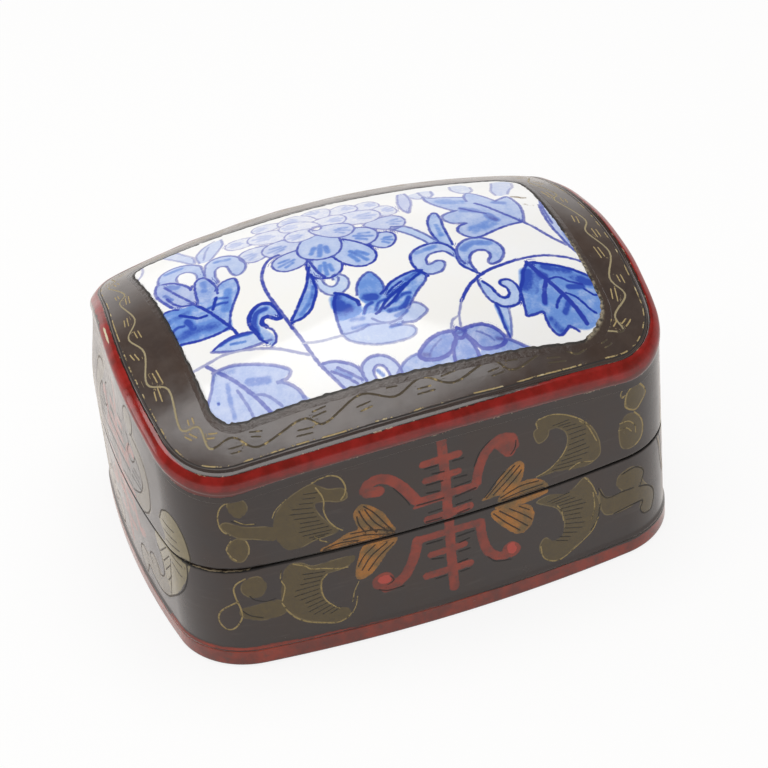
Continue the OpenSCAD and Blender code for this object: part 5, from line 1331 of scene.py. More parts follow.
class Paint:
    """Brushwork on the points of a grid, in millimetres.

    A line layer holds for each point the step to the nearest place of the nearest line, and that
    line's half width: the step's length blends cleanly between grid points, so a line stays
    sharp although it is thinner than the grid. A field is a strength from 0 to 1, or a depth
    inside the paint that is negative outside it.
    """

    def __init__(self, across, up, cell):
        self.at = np.stack([across.ravel(), up.ravel()], -1)
        self.cell = cell
        self.count = len(self.at)
        self.fields = {}
        self.lines = {}

    def field(self, name, start=0.0):
        """The values of a field, begun with a start value."""
        if name not in self.fields:
            self.fields[name] = np.full(self.count, start)
        return self.fields[name]

    def near(self, path, reach):
        """Numbers of the points within reach of a path's box."""
        low = path.min(0) - reach
        high = path.max(0) + reach
        return np.nonzero(((self.at > low) & (self.at < high)).all(1))[0]

    def step_to(self, index, path):
        """Steps from points to the nearest place of a path, and how far along it that is."""
        p = self.at[index][:, None]
        a = path[:-1][None]
        ab = (path[1:] - path[:-1])[None]
        t = np.clip(((p - a) * ab).sum(-1) / np.maximum((ab ** 2).sum(-1), 1e-9), 0, 1)
        step = a + t[..., None] * ab - p
        best = (step ** 2).sum(-1).argmin(1)
        rows = np.arange(len(index))
        return step[rows, best], (best + t[rows, best]) / len(path[1:])

    def line(self, name, half, path, look=(1.0, 0.0)):
        """A line of a half width along a path, with a look of two values: strength and tint.
        Each name has two layers, and the line goes on the one where it meets fewer others, because
        between points that belong to two lines on one layer the steps cancel out."""
        if name not in self.lines:
            self.lines[name] = []
            for _ in range(2):
                blank = np.zeros((self.count, 3))
                blank[:, :2] = 9
                self.lines[name].append((blank, np.zeros((self.count, 2)), np.full(self.count, np.inf)))
        reach = half + 1.6 * self.cell
        index = self.near(path, reach)
        if not len(index):
            return
        step, _ = self.step_to(index, path)
        far = np.hypot(*step.T)
        close = index[far < reach]
        met = [np.isfinite(best[close]).sum() for _, _, best in self.lines[name]]
        steps, looks, best = self.lines[name][int(met[1] < met[0])]
        won = (far < reach) & (far - half < best[index])
        index = index[won]
        steps[index, :2] = step[won]
        steps[index, 2] = half
        looks[index] = look
        best[index] = far[won] - half

    def depth(self, index, path):
        """Depth inside a closed outline: the distance to it, negative outside."""
        step, _ = self.step_to(index, path)
        return np.hypot(*step.T) * np.where(within(self.at[index], path), 1, -1)

    def patch(self, name, path):
        """Fill an outline in a depth field."""
        field = self.field(name, -1.0)
        index = self.near(path, 1.2)
        field[index] = np.maximum(field[index], np.clip(self.depth(index, path), -1, 1))

    def stroke(self, name, half, path):
        """A brush stroke of a half width in a depth field."""
        field = self.field(name, -1.0)
        index = self.near(path, half + 1.2)
        step, _ = self.step_to(index, path)
        field[index] = np.maximum(field[index], np.clip(half - np.hypot(*step.T), -1, 1))

    def wash(self, name, strength, tint, path, over=False):
        """A wash of even strength inside an outline, laid under or over what is there."""
        field = self.field(name)
        tints = self.field(name + " tint")
        index = self.near(path, 0.5)
        share = np.clip(0.5 + self.depth(index, path) / 0.3, 0, 1)
        if over:
            field[index] += (strength - field[index]) * share
            tints[index] += (tint - tints[index]) * share
        else:
            more = share * strength > field[index]
            tints[index] = np.where(more, tint, tints[index])
            field[index] = np.maximum(field[index], strength * share)

    def dab(self, name, strength, tint, width, path):
        """A soft-edged touch of the brush: full strength along its path, none at its edges."""
        field = self.field(name)
        tints = self.field(name + " tint")
        index = self.near(path, width / 2)
        if not len(index):
            return
        step, _ = self.step_to(index, path)
        share = ease(1.35 * (1 - np.hypot(*step.T) / (width / 2)), 0, 1)
        tints[index] += (tint - tints[index]) * share * 0.7
        field[index] = np.maximum(field[index], field[index] + (strength - field[index]) * share)

    def layers(self, packed):
        """Vector layers for a mesh: a name with three field names, or a line layer's name."""
        made = {}
        for key, parts in packed.items():
            if isinstance(parts, str):
                for end, (steps, looks, _) in zip(("", "_b"), self.lines[parts]):
                    made[key + end] = steps
                    made[key + end + "_look"] = np.concatenate([looks, np.zeros((self.count, 1))], 1)
            else:
                made[key] = np.stack([self.field(part) for part in parts], -1)
        return made


def hatch(inner, outer, count, start, stop):
    """Short lines between two curves, which run from a share to another share of the way."""
    a = spread(smooth_path(inner), count)
    b = spread(smooth_path(outer), count)
    made = []
    for i, (p, q) in enumerate(zip(a, b)):
        reach = stop + 0.1 * math.sin(5 * i)
        made.append(np.stack([p + (q - p) * start, p + (q - p) * reach]))
    return made


def paint_walls(paint, plan):
    """Lay the emblem, leaves, fans and curls on the front and back walls, and the swirls and
    discs on the end walls. Each is drawn about the middle of its wall."""
    half = plan.around / 2
    for u in (0, -half, half):
        place = np.array([u, 0])
        for width, path in RED_STROKES:
            paint.stroke("red", width, smooth_path(path) + place)
        for width, path in BRIGHT_STROKES:
            paint.stroke("bright", width, smooth_path(path) + place)
        for path in OCHRE_PATCHES:
            paint.patch("ochre", smooth_path(path, True) + place)
        for path in OLIVE_PATCHES:
            paint.patch("olive", smooth_path(path, True) + place)
        for width, path in FRONT_CUTS:
            paint.line("cut", width, smooth_path(path) + place)
        for width, path in FRONT_GOLD:
            paint.line("gold", width * 0.85, smooth_path(path) + place, (0.55, 0))
        for inner, outer, count, start, stop in FRONT_HATCHES:
            for path in hatch(inner, outer, count, start, stop):
                paint.line("cut", 0.11, path + place)
    # Each end wall is drawn twice, to the front of its middle and mirrored to the back
    for middle in (half / 2, -half / 2):
        for turn in (1, -1):
            flip = np.array([turn, 1])
            place = np.array([middle, 0])
            for width, path in END_RED:
                paint.stroke("red", width, smooth_path(path) * flip + place)
            for path in END_CREAM:
                paint.patch("cream", smooth_path(path, True) * flip + place)
            for path in END_OLIVE:
                paint.patch("olive", smooth_path(path, True) * flip + place)
            for width, path in END_CUTS:
                paint.line("cut", width, smooth_path(path) * flip + place)


def paint_foot(paint, u, height):
    """The red band round the foot. Its brushed edge stands at 4.2 mm at the left of the front,
    falls to 2.5 mm at the right, and wanders by a tenth."""
    across = np.where(np.abs(u) < 60, u, 0)
    edge = 3.7 - across * 0.016 + 0.5 * bell(u, -42, 9)
    edge = np.clip(edge + 0.12 * np.sin(u / 2.1) * np.sin(u / 5.3), 2.5, 4.4)
    field = paint.field("red", -1.0)
    np.maximum(field, np.clip(edge - height, -1, 1).ravel(), out=field)


def paint_border(paint, plan):
    """Wavy gold line round the lid's border with pairs of short dashes in its hollows, and a
    thin broken line beside the bead. The wave swings between two insets every 6 mm or so."""
    count = 52
    k = np.arange(count)
    u = (k + 0.22 * np.sin(3.7 * k)) * plan.around / count
    swing = 1.15 + 0.45 * np.sin(2.3 * k + 1)
    inset = 6.2 + np.where(k % 2 == 0, 1, -1) * swing + 0.4 * np.sin(0.9 * k)
    x, y = plan.at(u, inset)
    wave = smooth_path(np.stack([x, y], -1), True)
    # The gold is worn off along the front, where hands rest
    for part in np.array_split(np.arange(len(wave)), 2 * count):
        piece = wave[part[0]:part[-1] + 2]
        worn = piece[0][1] < -30
        paint.line("gold", 0.17, piece, (0.2 if worn else 1.0, 0))
    side = plan.around / count
    for i in range(count):
        away = -1 if i % 2 == 0 else 1
        for j in (0, 1):
            start = u[i] - side * (0.22 + 0.08 * math.sin(1.7 * i + j))
            stop = u[i] + side * (0.18 + 0.08 * math.sin(2.9 * i + 2 * j))
            level = inset[i] + away * (1.75 + 0.85 * j)
            slope = 0.2 * math.sin(1.3 * i)
            s = np.linspace(start, stop, 6)
            x, y = plan.at(s, level + slope * np.linspace(-1, 1, 6))
            paint.line("gold", 0.12, np.stack([x, y], -1), (0.2 if y[0] < -30 else 0.8, 0))
    s = np.linspace(0, plan.around, 700)
    wander = 0.10 * np.sin(s / 3.1) * np.sin(s / 7.7)
    x, y = plan.at(s, 2.78 + wander)
    paint.line("gold", 0.11, np.stack([x, y], -1), (0.6, 1))
    x, y = plan.at(s, 2.5 + wander)
    paint.line("cut", 0.13, np.stack([x, y], -1))


def paint_porcelain(paint):
    """Cobalt washes, darker touches and outlines of the flowers and leaves."""
    for strength, tint, path in PORCELAIN_WASHES:
        paint.wash("wash", strength, tint, smooth_path(path, True))
    # The flower: the petals lie over one another, so an outline is drawn only where no later petal
    # covers it. Petals further back are paler and more violet. Each has three strokes at its tip.
    edges = [petal(*row) for row in PORCELAIN_PETALS]
    for i, (root, tip, wide) in enumerate(PORCELAIN_PETALS):
        near = min(max((13 - tip[1]) / 15, 0), 1)
        tint = 0.6 - 0.5 * near
        paint.wash("wash", 0.13 + 0.17 * near, tint, edges[i], True)
        along = np.array(tip, float) - root
        side = np.array([-along[1], along[0]]) / np.hypot(*along)
        for off in (-0.22, 0.02, 0.24):
            start = root + along * (0.88 - 0.5 * abs(off)) + side * off * wide
            stop = root + along * (0.45 + 0.4 * abs(off)) + side * off * wide * 0.7
            paint.dab("wash", 0.30 + 0.34 * near, tint, 0.24 * wide, np.stack([start, stop]))
        edge = spread(edges[i], 60)
        shown = np.ones(len(edge), bool)
        for later in edges[i + 1:]:
            shown &= ~within(edge, later)
        look = (0.6 + 0.35 * near, 0.95 - 0.6 * near)
        for k in np.nonzero(shown[:-1] & shown[1:])[0]:
            paint.line("ink", 0.18 + 0.09 * near, edge[k:k + 2], look)
    paint.wash("wash", 0.0, 0.5, oval(-3.9, 13, 0.8, 0.9, 0), True)
    paint.line("ink", 0.2, oval(-3.9, 13, 0.9, 1.0, 0), (0.7, 0.8))
    for strength, tint, width, path in PORCELAIN_DABS:
        paint.dab("wash", min(strength * 1.25, 1.05), tint, width * 1.1, smooth_path(path))
    for strength, tint, width, path in PORCELAIN_LINES:
        paint.line("ink", width * 0.72, smooth_path(path), (min(strength * 1.15 + 0.18, 1.0), tint))
    # Brown earthy chips in the glaze at the back right
    paint.dab("chips", 0.62, 0, 2.4, np.array([(35.4, 10.4), (37.4, 9.3)]))
    paint.dab("chips", 0.55, 0, 1.9, np.array([(36.2, 6.2), (37.6, 5.5)]))


# Columns of a surface swept along the outline, and their step in millimetres, rounded up
COLUMNS = 960
CELL = 0.36
# A place out of the reach of all paint, for rows that carry none
FAR = 1e3
# How far a skin keeps from what lies behind or under it, in millimetres
CLEAR = 0.05
# How far the foot's thicker lacquer stands out, in millimetres
FOOT_PROUD = 0.3
# Length of the porcelain piece, and where its middle lies, in millimetres
SHARD_W = 79
SHARD_AT = np.array([1.0, -2.5])
SIDES = ("front", "right", "back", "left")


def wear_near(height, edge, reach):
    """How rubbed a place is: 1 at an edge's height, falling to 0 at a reach from it."""
    return np.clip(1 - np.abs(height - edge) / reach, 0, 1)


def worn_edge(plan, u):
    """How far the walls' edges at the joint are worn back: a bell of 0.35 mm at the front's left
    corner and one of 0.12 mm towards the right end, made ragged by two waves."""
    along = from_front(plan, u)
    bells = 0.35 * bell(along, -44, 9) + 0.12 * bell(along, 44, 16)
    return bells * (1 + 0.2 * np.sin(1.9 * along) + 0.15 * np.sin(4.3 * along + 1))


def from_front(plan, u):
    """Length along the outline from the middle of the front, negative on its left half."""
    return np.where(u > plan.around / 2, u - plan.around, u)


def wall_paint(plan, u, surface, side_rows, joint, foot):
    """Paint for a walls' piece. Only its side rows carry it. Columns at u beyond half way round
    count from the other side, so that a motif may cross the middle of the front."""
    rows, cols, _ = surface.shape
    along = from_front(plan, u)
    across = np.broadcast_to(along, (rows, cols)).copy()
    height = surface[..., 2].copy()
    height[:side_rows.start] = FAR
    height[side_rows.stop:] = FAR
    paint = Paint(across, height, CELL)
    paint_walls(paint, plan)
    for name in ("bright", "cream", "ochre", "olive"):
        paint.field(name, -1.0)
    if foot:
        paint_foot(paint, across, height)
        # The joint of wall and board shows as a fine dark line in the red
        s = np.linspace(-plan.around / 2, plan.around / 2, 900)
        paint.line("cut", 0.13, np.stack([s, 3.68 + 0.05 * np.sin(s / 4)], -1))
    # A black line is painted along the joint, wide at the front's left corner: painted shade of the gap
    # between lid and base
    inward = -0.1 if foot else 0.1
    for start, stop, width in ((-110, -50, 0.12), (-51, -36, 0.5), (-37, -10, 0.34), (-11, 70, 0.22)):
        part = np.linspace(start, stop, 60)
        level = np.full(60, plan.rim_z + 1.5 * inward)
        paint.line("cut", width, np.stack([part, level], -1), (1, 0))
    # Beside the joint the lacquer is darkened towards black, most at the front's left corner: painted
    # shade of the gap, where the same layer also brings pale chips
    rub_and_shade = np.zeros((rows, cols))
    rub_and_shade[side_rows] = wear_near(surface[side_rows, :, 2], joint, 0.55)
    corner = bell(across, -44, 8)
    paint.fields["rub_and_shade"] = (rub_and_shade * (0.80 + 0.32 * corner)).ravel()
    return paint.layers({
        "paint": ("red", "ochre", "olive"), "paint_more": ("bright", "cream", "rub_and_shade"),
        "cut": "cut", "gold": "gold",
    })


def plain_layers(count):
    """Layers of a lacquered piece without brushwork."""
    none = np.full((count, 3), -1.0)
    more = np.tile([-1.0, -1.0, 0.0], (count, 1))
    far = np.tile([9.0, 9.0, 0.0], (count, 1))
    made = {"paint": none, "paint_more": more}
    for name in ("cut", "cut_b", "gold", "gold_b"):
        made[name] = far.copy()
        made[name + "_look"] = np.zeros((count, 3))
    return made


class SEALBOX_OT_materials(bpy.types.Operator):
    """Make the finishes"""

    bl_idname = "sealbox.materials"
    bl_label = "Finishes"

    def execute(self, context):
        colours = context.scene.sealbox_colours
        painted_lacquer(colours)
        bead_lacquer(colours)
        painted_porcelain(colours)
        rough_filler(colours)
        # Inside the walls: thin lacquer straight on the wood, matt and brushed
        plain_finish("lining lacquer, thin", "#1d1613", "#2e231c", 3, 0.42, 1.2, 0.06)
        # The dish: white body, glossy glaze with a faint blue cast
        plain_finish("white porcelain, glazed", "#e9edf0", "#f1efe9", 14, 0.08, 8, 0.08)
        # Cinnabar ground into oil and fibres: matt, dense, slightly oily
        plain_finish("cinnabar seal paste, oily", colours.paste, "#cf3524", 1.6, 0.42, 0.35, 0.10, 0.25)
        return {"FINISHED"}


class SEALBOX_OT_base(bpy.types.Operator):
    """Make the lacquered walls and the bottom board of the base"""

    bl_idname = "sealbox.base"
    bl_label = "Base"

    def execute(self, context):
        plan = Plan(context.scene.sealbox_sizes)
        black = bpy.data.materials["black lacquer, brushed and incised"]
        u = plan.columns(COLUMNS)
        r = plan.joint_round
        top = plan.rim_z - CLEAR - worn_edge(plan, u)
        # The foot's lacquer is thicker: it stands 0.3 mm proud and ends in a soft step
        rows = []
        for t in np.linspace(0, 1, 71)[:-1]:
            z = plan.board_t + (top - r - plan.board_t) * t
            rows.append((-FOOT_PROUD * ease(4.6 - z, 0, 0.8), z))
        rows += quarter_round(0, top, r, "up")
        sides = slice(0, len(rows))
        inside = plan.wall_t - CLEAR
        rows += [(0.7, top), (plan.wall_t - 0.3, top), (inside, top), (inside, plan.board_t)]
        surface = ring(plan, u, rows)
        layers = wall_paint(plan, u, surface, sides, top, True)
        points, quads, fans = closed_skin(surface, True)
        nodes = [f"base_{side}_wall" for side in SIDES]
        make_piece("base_lacquer", points, quads, fans, "base", black, layers, nodes)

        # The lacquer fills out the board's lower edge to a tighter rounding than its wood
        r = 0.45 * plan.board_round
        middle = plan.corner_r * 0.9
        rows = [(middle, 0), (r + 0.5, 0)] + quarter_round(-FOOT_PROUD, 0, r, "down", 8)
        rows += [(-FOOT_PROUD, z) for z in np.linspace(r, plan.board_t, 8)[1:]]
        rows += [(0.25, plan.board_t), (1, plan.board_t), (middle, plan.board_t)]
        surface = ring(plan, u, rows)
        points, quads, fans = closed_skin(surface, False)
        layers = plain_layers(len(points))
        across = np.broadcast_to(from_front(plan, u), surface.shape[:2])
        paint = Paint(across, surface[..., 2], CELL)
        paint_foot(paint, across, surface[..., 2])
        layers["paint"][:paint.count, 0] = paint.field("red")
        layers["paint"][:, 0] = np.where(points[:, 2] < 0.01, 0.3, layers["paint"][:, 0])
        # The lowest millimetre of the foot's rounded edge is darkened towards black: painted shade under
        # the box's edge
        layers["paint_more"][:, 2] = np.clip(1.1 - points[:, 2] / 0.9, 0, 1) * (points[:, 2] > 0.02)
        make_piece(
            "board_lacquer", points, quads, fans, "base", black, layers,
            ["bottom_board"],
        )
        return {"FINISHED"}


class SEALBOX_OT_lid(bpy.types.Operator):
    """Make the lacquered walls of the lid and its red bead"""

    bl_idname = "sealbox.lid"
    bl_label = "Lid"

    def execute(self, context):
        plan = Plan(context.scene.sealbox_sizes)
        black = bpy.data.materials["black lacquer, brushed and incised"]
        red = bpy.data.materials["red lacquer, brushed"]
        u = plan.columns(COLUMNS)
        r = plan.joint_round
        foot = plan.rim_z + CLEAR + 0.5 * worn_edge(plan, u)
        x, y = plan.at(u, 0)
        edge = plan.top_z(x, y, plan.bead_h)
        rows = [(2, foot), (0.7, foot)] + quarter_round(0, foot, r, "down")
        low = foot + r
        rows += [(0, low + (edge - low) * t) for t in np.linspace(0, 1, 73)[1:]]
        # A row close below the upper edge keeps that edge's shading off the wall
        rows.insert(-1, (0, edge - 0.03))
        sides = slice(2, len(rows))
        seat = plan.bead_w - CLEAR
        ledge = ("depth", plan.bead_h)
        under = ("depth", plan.top_t)
        rows += [(CLEAR, ledge), (seat, ledge), (seat, under)]
        rows += [(plan.lid_wall_t, under), (plan.lid_wall_t, foot)]
        surface = ring(plan, u, rows)
        layers = wall_paint(plan, u, surface, sides, foot, False)
        points, quads, fans = closed_skin(plan.settle(surface), True)
        nodes = [f"lid_{side}_wall" for side in SIDES]
        make_piece("lid_lacquer", points, quads, fans, "lid", black, layers, nodes)

        # The bead's profile as (inset, depth): up from the rebate, over a low crest, down a slope
        # that is steeper than the arch, round a soft edge and flush into the wall
        bead_in = plan.bead_w - 0.08
        low = plan.bead_h + 0.02
        profile = [
            (bead_in, low), (bead_in, 0.6), (bead_in - 0.05, 0.22), (bead_in - 0.28, 0.02),
            (1.45, -0.08), (1.10, -0.12), (0.8, -0.05), (0.45, 0.08), (0.12, 0.25), (-0.08, 0.46),
            (-0.20, 0.80), (-0.24, 1.3), (-0.19, 1.65), (-0.07, 1.9), (-0.02, 2.3), (-0.01, low - 0.03),
            (-0.01, low),
        ]
        profile = smooth_path(profile, False, 4)
        along = from_front(plan, u)
        # The paint lies unevenly: each point sinks towards the rebate by up to 0.14 mm
        sink = 0.07 + 0.07 * np.sin(u / 2.7 + 1.3 * np.sin(u / 9)) * np.sin(u / 6.1)
        shaped = []
        for inset, depth in profile:
            share = np.clip((low - depth) / low, 0, 1)
            shaped.append((inset + sink * share * 0.6, ("depth", depth + sink * share)))
        surface = plan.settle(ring(plan, u, shaped[::-1]))
        points, quads, fans = closed_skin(surface, True)
        # Chips at the bead's inner edge on the left, and dark bruises along the front
        chip = 1.3 * bell(along, -86.5, 5) + 0.4 * bell(along, -46, 4)
        bruise = 0.4 * bell(along, 40, 9) + 0.3 * bell(along, -33, 8)
        # The red starts 1.1 mm in from the edge along the front and at the bead's inner edge
        # elsewhere, and ends about 2 mm below the edge
        start = np.interp(
            along, [-160, -54, -47, 12, 30, 45, 60, 160], [1.6, 1.9, 1.15, 1.1, 2.1, 1.9, 1.35, 1.4]
        )
        stop = np.interp(
            along, [-160, -92, -84, -60, -48, -27, -8, 40, 60],
            [1.2, 0.2, 0.9, 1.2, 2.7, 1.7, 2.1, 2, 1.6],
        )
        turn_in = profile[::-1, :1]
        turn_down = profile[::-1, 1:]
        band = np.minimum(start[None] - turn_in, stop[None] - turn_down)
        wear_and_reflection = np.zeros(surface.shape)
        edge_near = bell(turn_in, 0.75, 0.3) * (turn_down < 0.8)
        wear_and_reflection[..., 0] = chip[None] * edge_near
        # Bruises, and a browning that grows down the outer face: a painted reflection of the floor
        wear_and_reflection[..., 1] = bruise + 0.9 * np.clip((turn_down - 0.7) / 0.9, 0, 1)
        wear_and_reflection[..., 2] = np.clip(band, -1, 1)
        make_piece(
            "bead_lacquer", points, quads, fans, "lid", red,
            {"wear_and_reflection": wear_and_reflection.reshape(-1, 3)}, ["rim_bead"],
        )
        return {"FINISHED"}


def shard_outline(grow):
    """The porcelain piece's outline: straight broken edges between rounded corners, moved out by a
    distance. Each corner has its place and its radius, and the two long sides bend at their middle."""
    left = SHARD_AT[0] - SHARD_W / 2
    right = SHARD_AT[0] + SHARD_W / 2
    corners = [
        ((left + 0.8, -29), 5), ((1, -31.4), 160), ((right - 1.5, -32.2), 9),
        ((right, 22), 6), ((1, 26.2), 160), ((left, 28.5), 4),
    ]
    made = []
    count = len(corners)
    for i, (here, r) in enumerate(corners):
        here = np.array(here)
        back = np.array(corners[i - 1][0]) - here
        ahead = np.array(corners[(i + 1) % count][0]) - here
        back = back / np.hypot(*back)
        ahead = ahead / np.hypot(*ahead)
        half = math.acos(float(back @ ahead)) / 2
        middle = back + ahead
        middle = here + middle / np.hypot(*middle) * r / math.sin(half)
        start = here + back * r / math.tan(half) - middle
        turn = math.atan2(start[1], start[0]) + (math.pi - 2 * half) * np.linspace(0, 1, 12)
        reach = r + grow
        made.append(middle + reach * np.stack([np.cos(turn), np.sin(turn)], -1))
    path = np.concatenate(made)
    return np.concatenate([path, path[:1]])


def outward(path):
    """Outward directions along a closed path: the way from neighbour to neighbour, turned right."""
    along = np.roll(path, -1, 0) - np.roll(path, 1, 0)
    out = np.stack([along[:, 1], -along[:, 0]], -1)
    return out / np.hypot(*out.T)[:, None]


def edge_rag(s, around, reach):
    """A ragged in and out along a closed edge, the sum of waves that close on themselves."""
    turn = 2 * math.pi * s / around
    waves = np.sin(37 * turn) + 0.8 * np.sin(61 * turn + 1.3) + 0.7 * np.sin(113 * turn + 2.1)
    waves = waves + 0.6 * np.sin(171 * turn + 0.4) + 0.8 * np.sin(11 * turn + 0.7)
    return reach * waves / 2.4


def polar_reach(path, centre, angles):
    """How far a closed path is from a centre in each direction."""
    away = path[:-1] - centre
    turn = np.arctan2(away[:, 1], away[:, 0])
    order = np.argsort(turn)
    far = np.hypot(*away.T)[order]
    turn = turn[order]
    return np.interp(angles, turn, far, period=2 * math.pi)


class SEALBOX_OT_top(bpy.types.Operator):
    """Make the lid's arched border, the porcelain piece and the filler round it"""

    bl_idname = "sealbox.top"
    bl_label = "Lid top"

    def execute(self, context):
        plan = Plan(context.scene.sealbox_sizes)
        black = bpy.data.materials["black lacquer, brushed and incised"]
        centre = SHARD_AT
        recess = spread(shard_outline(plan.filler_w), 1500)
        u = plan.columns(COLUMNS)
        outer_inset = plan.bead_w - 0.12
        x, y = plan.at(u, outer_inset)
        outer = np.stack([x, y], -1)
        turn = np.arctan2(y - centre[1], x - centre[0])
        reach = polar_reach(recess, centre, turn)
        inner = centre + reach[:, None] * np.stack([np.cos(turn), np.sin(turn)], -1)
        # From under the porcelain up the recess's edge, out over the border and back beneath
        bed = plan.shard_t - plan.shard_proud + 0.1
        rows = [plan.on_top(centre + (inner - centre) * t, bed) for t in (0.02, 0.35, 0.7, 1)]
        rows += [plan.on_top(inner, d) for d in (bed - 0.05, 0.4, 0.15)]
        shares = np.concatenate([[0.012], np.linspace(0.025, 1, 34)])
        border = slice(len(rows) - 1, len(rows) + len(shares))
        rows += [plan.on_top(inner + (outer - inner) * t, 0) for t in shares]
        rows += [plan.on_top(outer, d) for d in (1.5, plan.top_t)]
        rows += [plan.on_top(outer * t, plan.top_t) for t in (0.97, 0.8, 0.6, 0.4, 0.2, 0.02)]
        surface = np.stack(rows)[::-1]
        border = slice(len(rows) - border.stop, len(rows) - border.start)
        points, quads, fans = closed_skin(plan.settle(surface), False)
        flat = surface[..., :2].copy()
        hidden = np.ones(len(rows), bool)
        hidden[border] = False
        flat[hidden] = FAR
        paint = Paint(flat[..., 0], flat[..., 1], CELL)
        paint_border(paint, plan)
        layers = plain_layers(len(points))
        for key, values in paint.layers({"gold": "gold", "cut": "cut"}).items():
            layers[key][:paint.count] = values
        # A rubbed spot beside the bead at the right end
        far = np.hypot(points[:, 0] - 47.6, points[:, 1] + 1.2)
        layers["paint_more"][:, 2] = np.clip(0.62 - far / 2.2, 0, 1)
        make_piece(
            "lid_top_lacquer", points, quads, fans, "lid", black, layers,
            ["lid_top_board"],
        )

        self.porcelain(plan)
        self.filler(plan)
        return {"FINISHED"}

    def porcelain(self, plan):
        """The piece's top is a patch stretched between its four edges, so that its grid runs with
        them: the two ways of spanning it are added and the plane through its corners taken off."""
        glaze = bpy.data.materials["blue and white porcelain, glazed"]
        # Radius of the glaze's rounded edge
        soft = 0.45
        path = spread(shard_outline(0), 4001)
        # Front left, front right, back right and back left: the edges are cut apart there
        corner_at = [(-38, -29.5), (38.5, -31), (39.5, 21), (-37.8, 28)]
        cuts = [int(np.hypot(path[:, 0] - x, path[:, 1] - y).argmin()) for x, y in corner_at]
        path = np.roll(path[:-1], -cuts[0], 0)
        cuts = [(c - cuts[0]) % len(path) for c in cuts] + [len(path)]
        path = np.concatenate([path, path[:1]])
        counts = (300, 222, 300, 222)
        sides = [spread(path[a:b + 1], n) for a, b, n in zip(cuts[:-1], cuts[1:], counts)]
        loop = np.concatenate([side[:-1] for side in sides])
        out = outward(loop)
        s = np.arange(len(loop))
        loop = loop + out * (edge_rag(s, len(loop), 0.16)[:, None] - 0.1)
        drawn = loop - out * soft
        cuts = np.cumsum([0] + [n - 1 for n in counts])
        spans = zip(cuts[:-1], cuts[1:])
        front, right, back, left = (np.take(drawn, range(a, b + 1), 0, mode="wrap") for a, b in spans)
        back = back[::-1]
        left = left[::-1]
        s = np.linspace(0, 1, counts[0])[None, :, None]
        t = np.linspace(0, 1, counts[1])[:, None, None]
        patch = (1 - t) * front[None] + t * back[None] + (1 - s) * left[:, None] + s * right[:, None]
        patch = patch - (1 - s) * (1 - t) * front[0] - s * (1 - t) * front[-1]
        patch = patch - (1 - s) * t * back[0] - s * t * back[-1]
        proud = 0.35 * plan.shard_proud
        height = plan.top_z(patch[..., 0], patch[..., 1], -proud)
        rows, cols, _ = patch.shape
        number = np.arange(rows * cols).reshape(rows, cols)
        rim = np.concatenate([number[0, :-1], number[:-1, -1], number[-1, :0:-1], number[:0:-1, 0]])
        flat = patch.reshape(-1, 2)
        top = np.concatenate([flat, height.reshape(-1, 1)], 1)
        rings = []
        for turn in np.linspace(0, math.pi / 2, 6)[1:]:
            ring_at = drawn + out * soft * math.sin(turn)
            rings.append(plan.on_top(ring_at, -proud + soft * (1 - math.cos(turn))))
        low = plan.shard_t - plan.shard_proud - CLEAR
        for share in (1, 0.97, 0.6, 0.3):
            rings.append(plan.on_top((loop - SHARD_AT) * share + SHARD_AT, low))
        size = len(rim)
        added = rows * cols + np.arange(len(rings) * size).reshape(-1, size)
        numbers = np.concatenate([rim[None], added])
        points = np.concatenate([top] + rings + [rings[-1].mean(0)[None]])
        ring_quads = np.stack([
            numbers[:-1], numbers[1:], np.roll(numbers[1:], -1, 1), np.roll(numbers[:-1], -1, 1),
        ], -1).reshape(-1, 4)
        quads = np.concatenate([grid_faces(rows, cols, False, False), ring_quads])
        last = numbers[-1]
        fans = np.stack([np.full(size, len(points) - 1), np.roll(last, -1), last], -1)
        paint = Paint(points[:, 0], points[:, 1], 0.28)
        paint_porcelain(paint)
        layers = paint.layers({"wash": ("wash", "wash tint", "chips"), "ink": "ink"})
        make_piece(
            "porcelain_glaze", points, quads, fans, "lid", glaze, layers,
            ["porcelain_shard"],
        )

    def filler(self, plan):
        """A low ridge between the porcelain and its recess, lacquered with the border. It laps over
        the porcelain by a ragged width: more at the back and at the two front corners."""
        putty = bpy.data.materials["lacquer putty, trimmed"]
        count = 1400
        path = spread(shard_outline(plan.filler_w / 2), count + 1)[:-1]
        out = outward(path)
        s = np.arange(count)
        x, y = path.T
        lap = 1.1 * bell(y, 28, 4) + 0.55 * bell(y, -32, 3)
        lap = lap + 0.9 * np.exp(-((x - 38) / 5) ** 2 - ((y + 30) / 5) ** 2)
        lap = lap + 0.7 * np.exp(-((x + 37) / 5) ** 2 - ((y + 29) / 5) ** 2)
        lap = lap + 0.35 * bell(x, 40, 3)
        inside = -0.62 - lap + edge_rag(s, count, 0.18)
        outside = 0.85 + edge_rag(s + 400, count, 0.08)
        crown = 0.10 + edge_rag(s + 190, count, 0.03)
        rows = []
        across = np.concatenate([np.linspace(0, 0.2, 4), np.linspace(0.3, 1, 9)])
        for t in across:
            flat = path + out * (inside + (outside - inside) * t)[:, None]
            # Up out of the porcelain in the first fifth, then level, and down into the border
            rise = math.sin(min(t / 0.2, 1) * math.pi / 2)
            fall = 1 - max(t - 0.35, 0) / 0.65
            up = 0.03 * (1 - rise) + crown * rise * fall - 0.03 * (1 - fall)
            rows.append(plan.on_top(flat, -up))
        for away in (outside - 0.15, inside + 0.3):
            rows.append(plan.on_top(path + out * away[:, None], 1.2))
        surface = np.stack(rows)[::-1]
        points, quads, fans = closed_skin(surface, True)
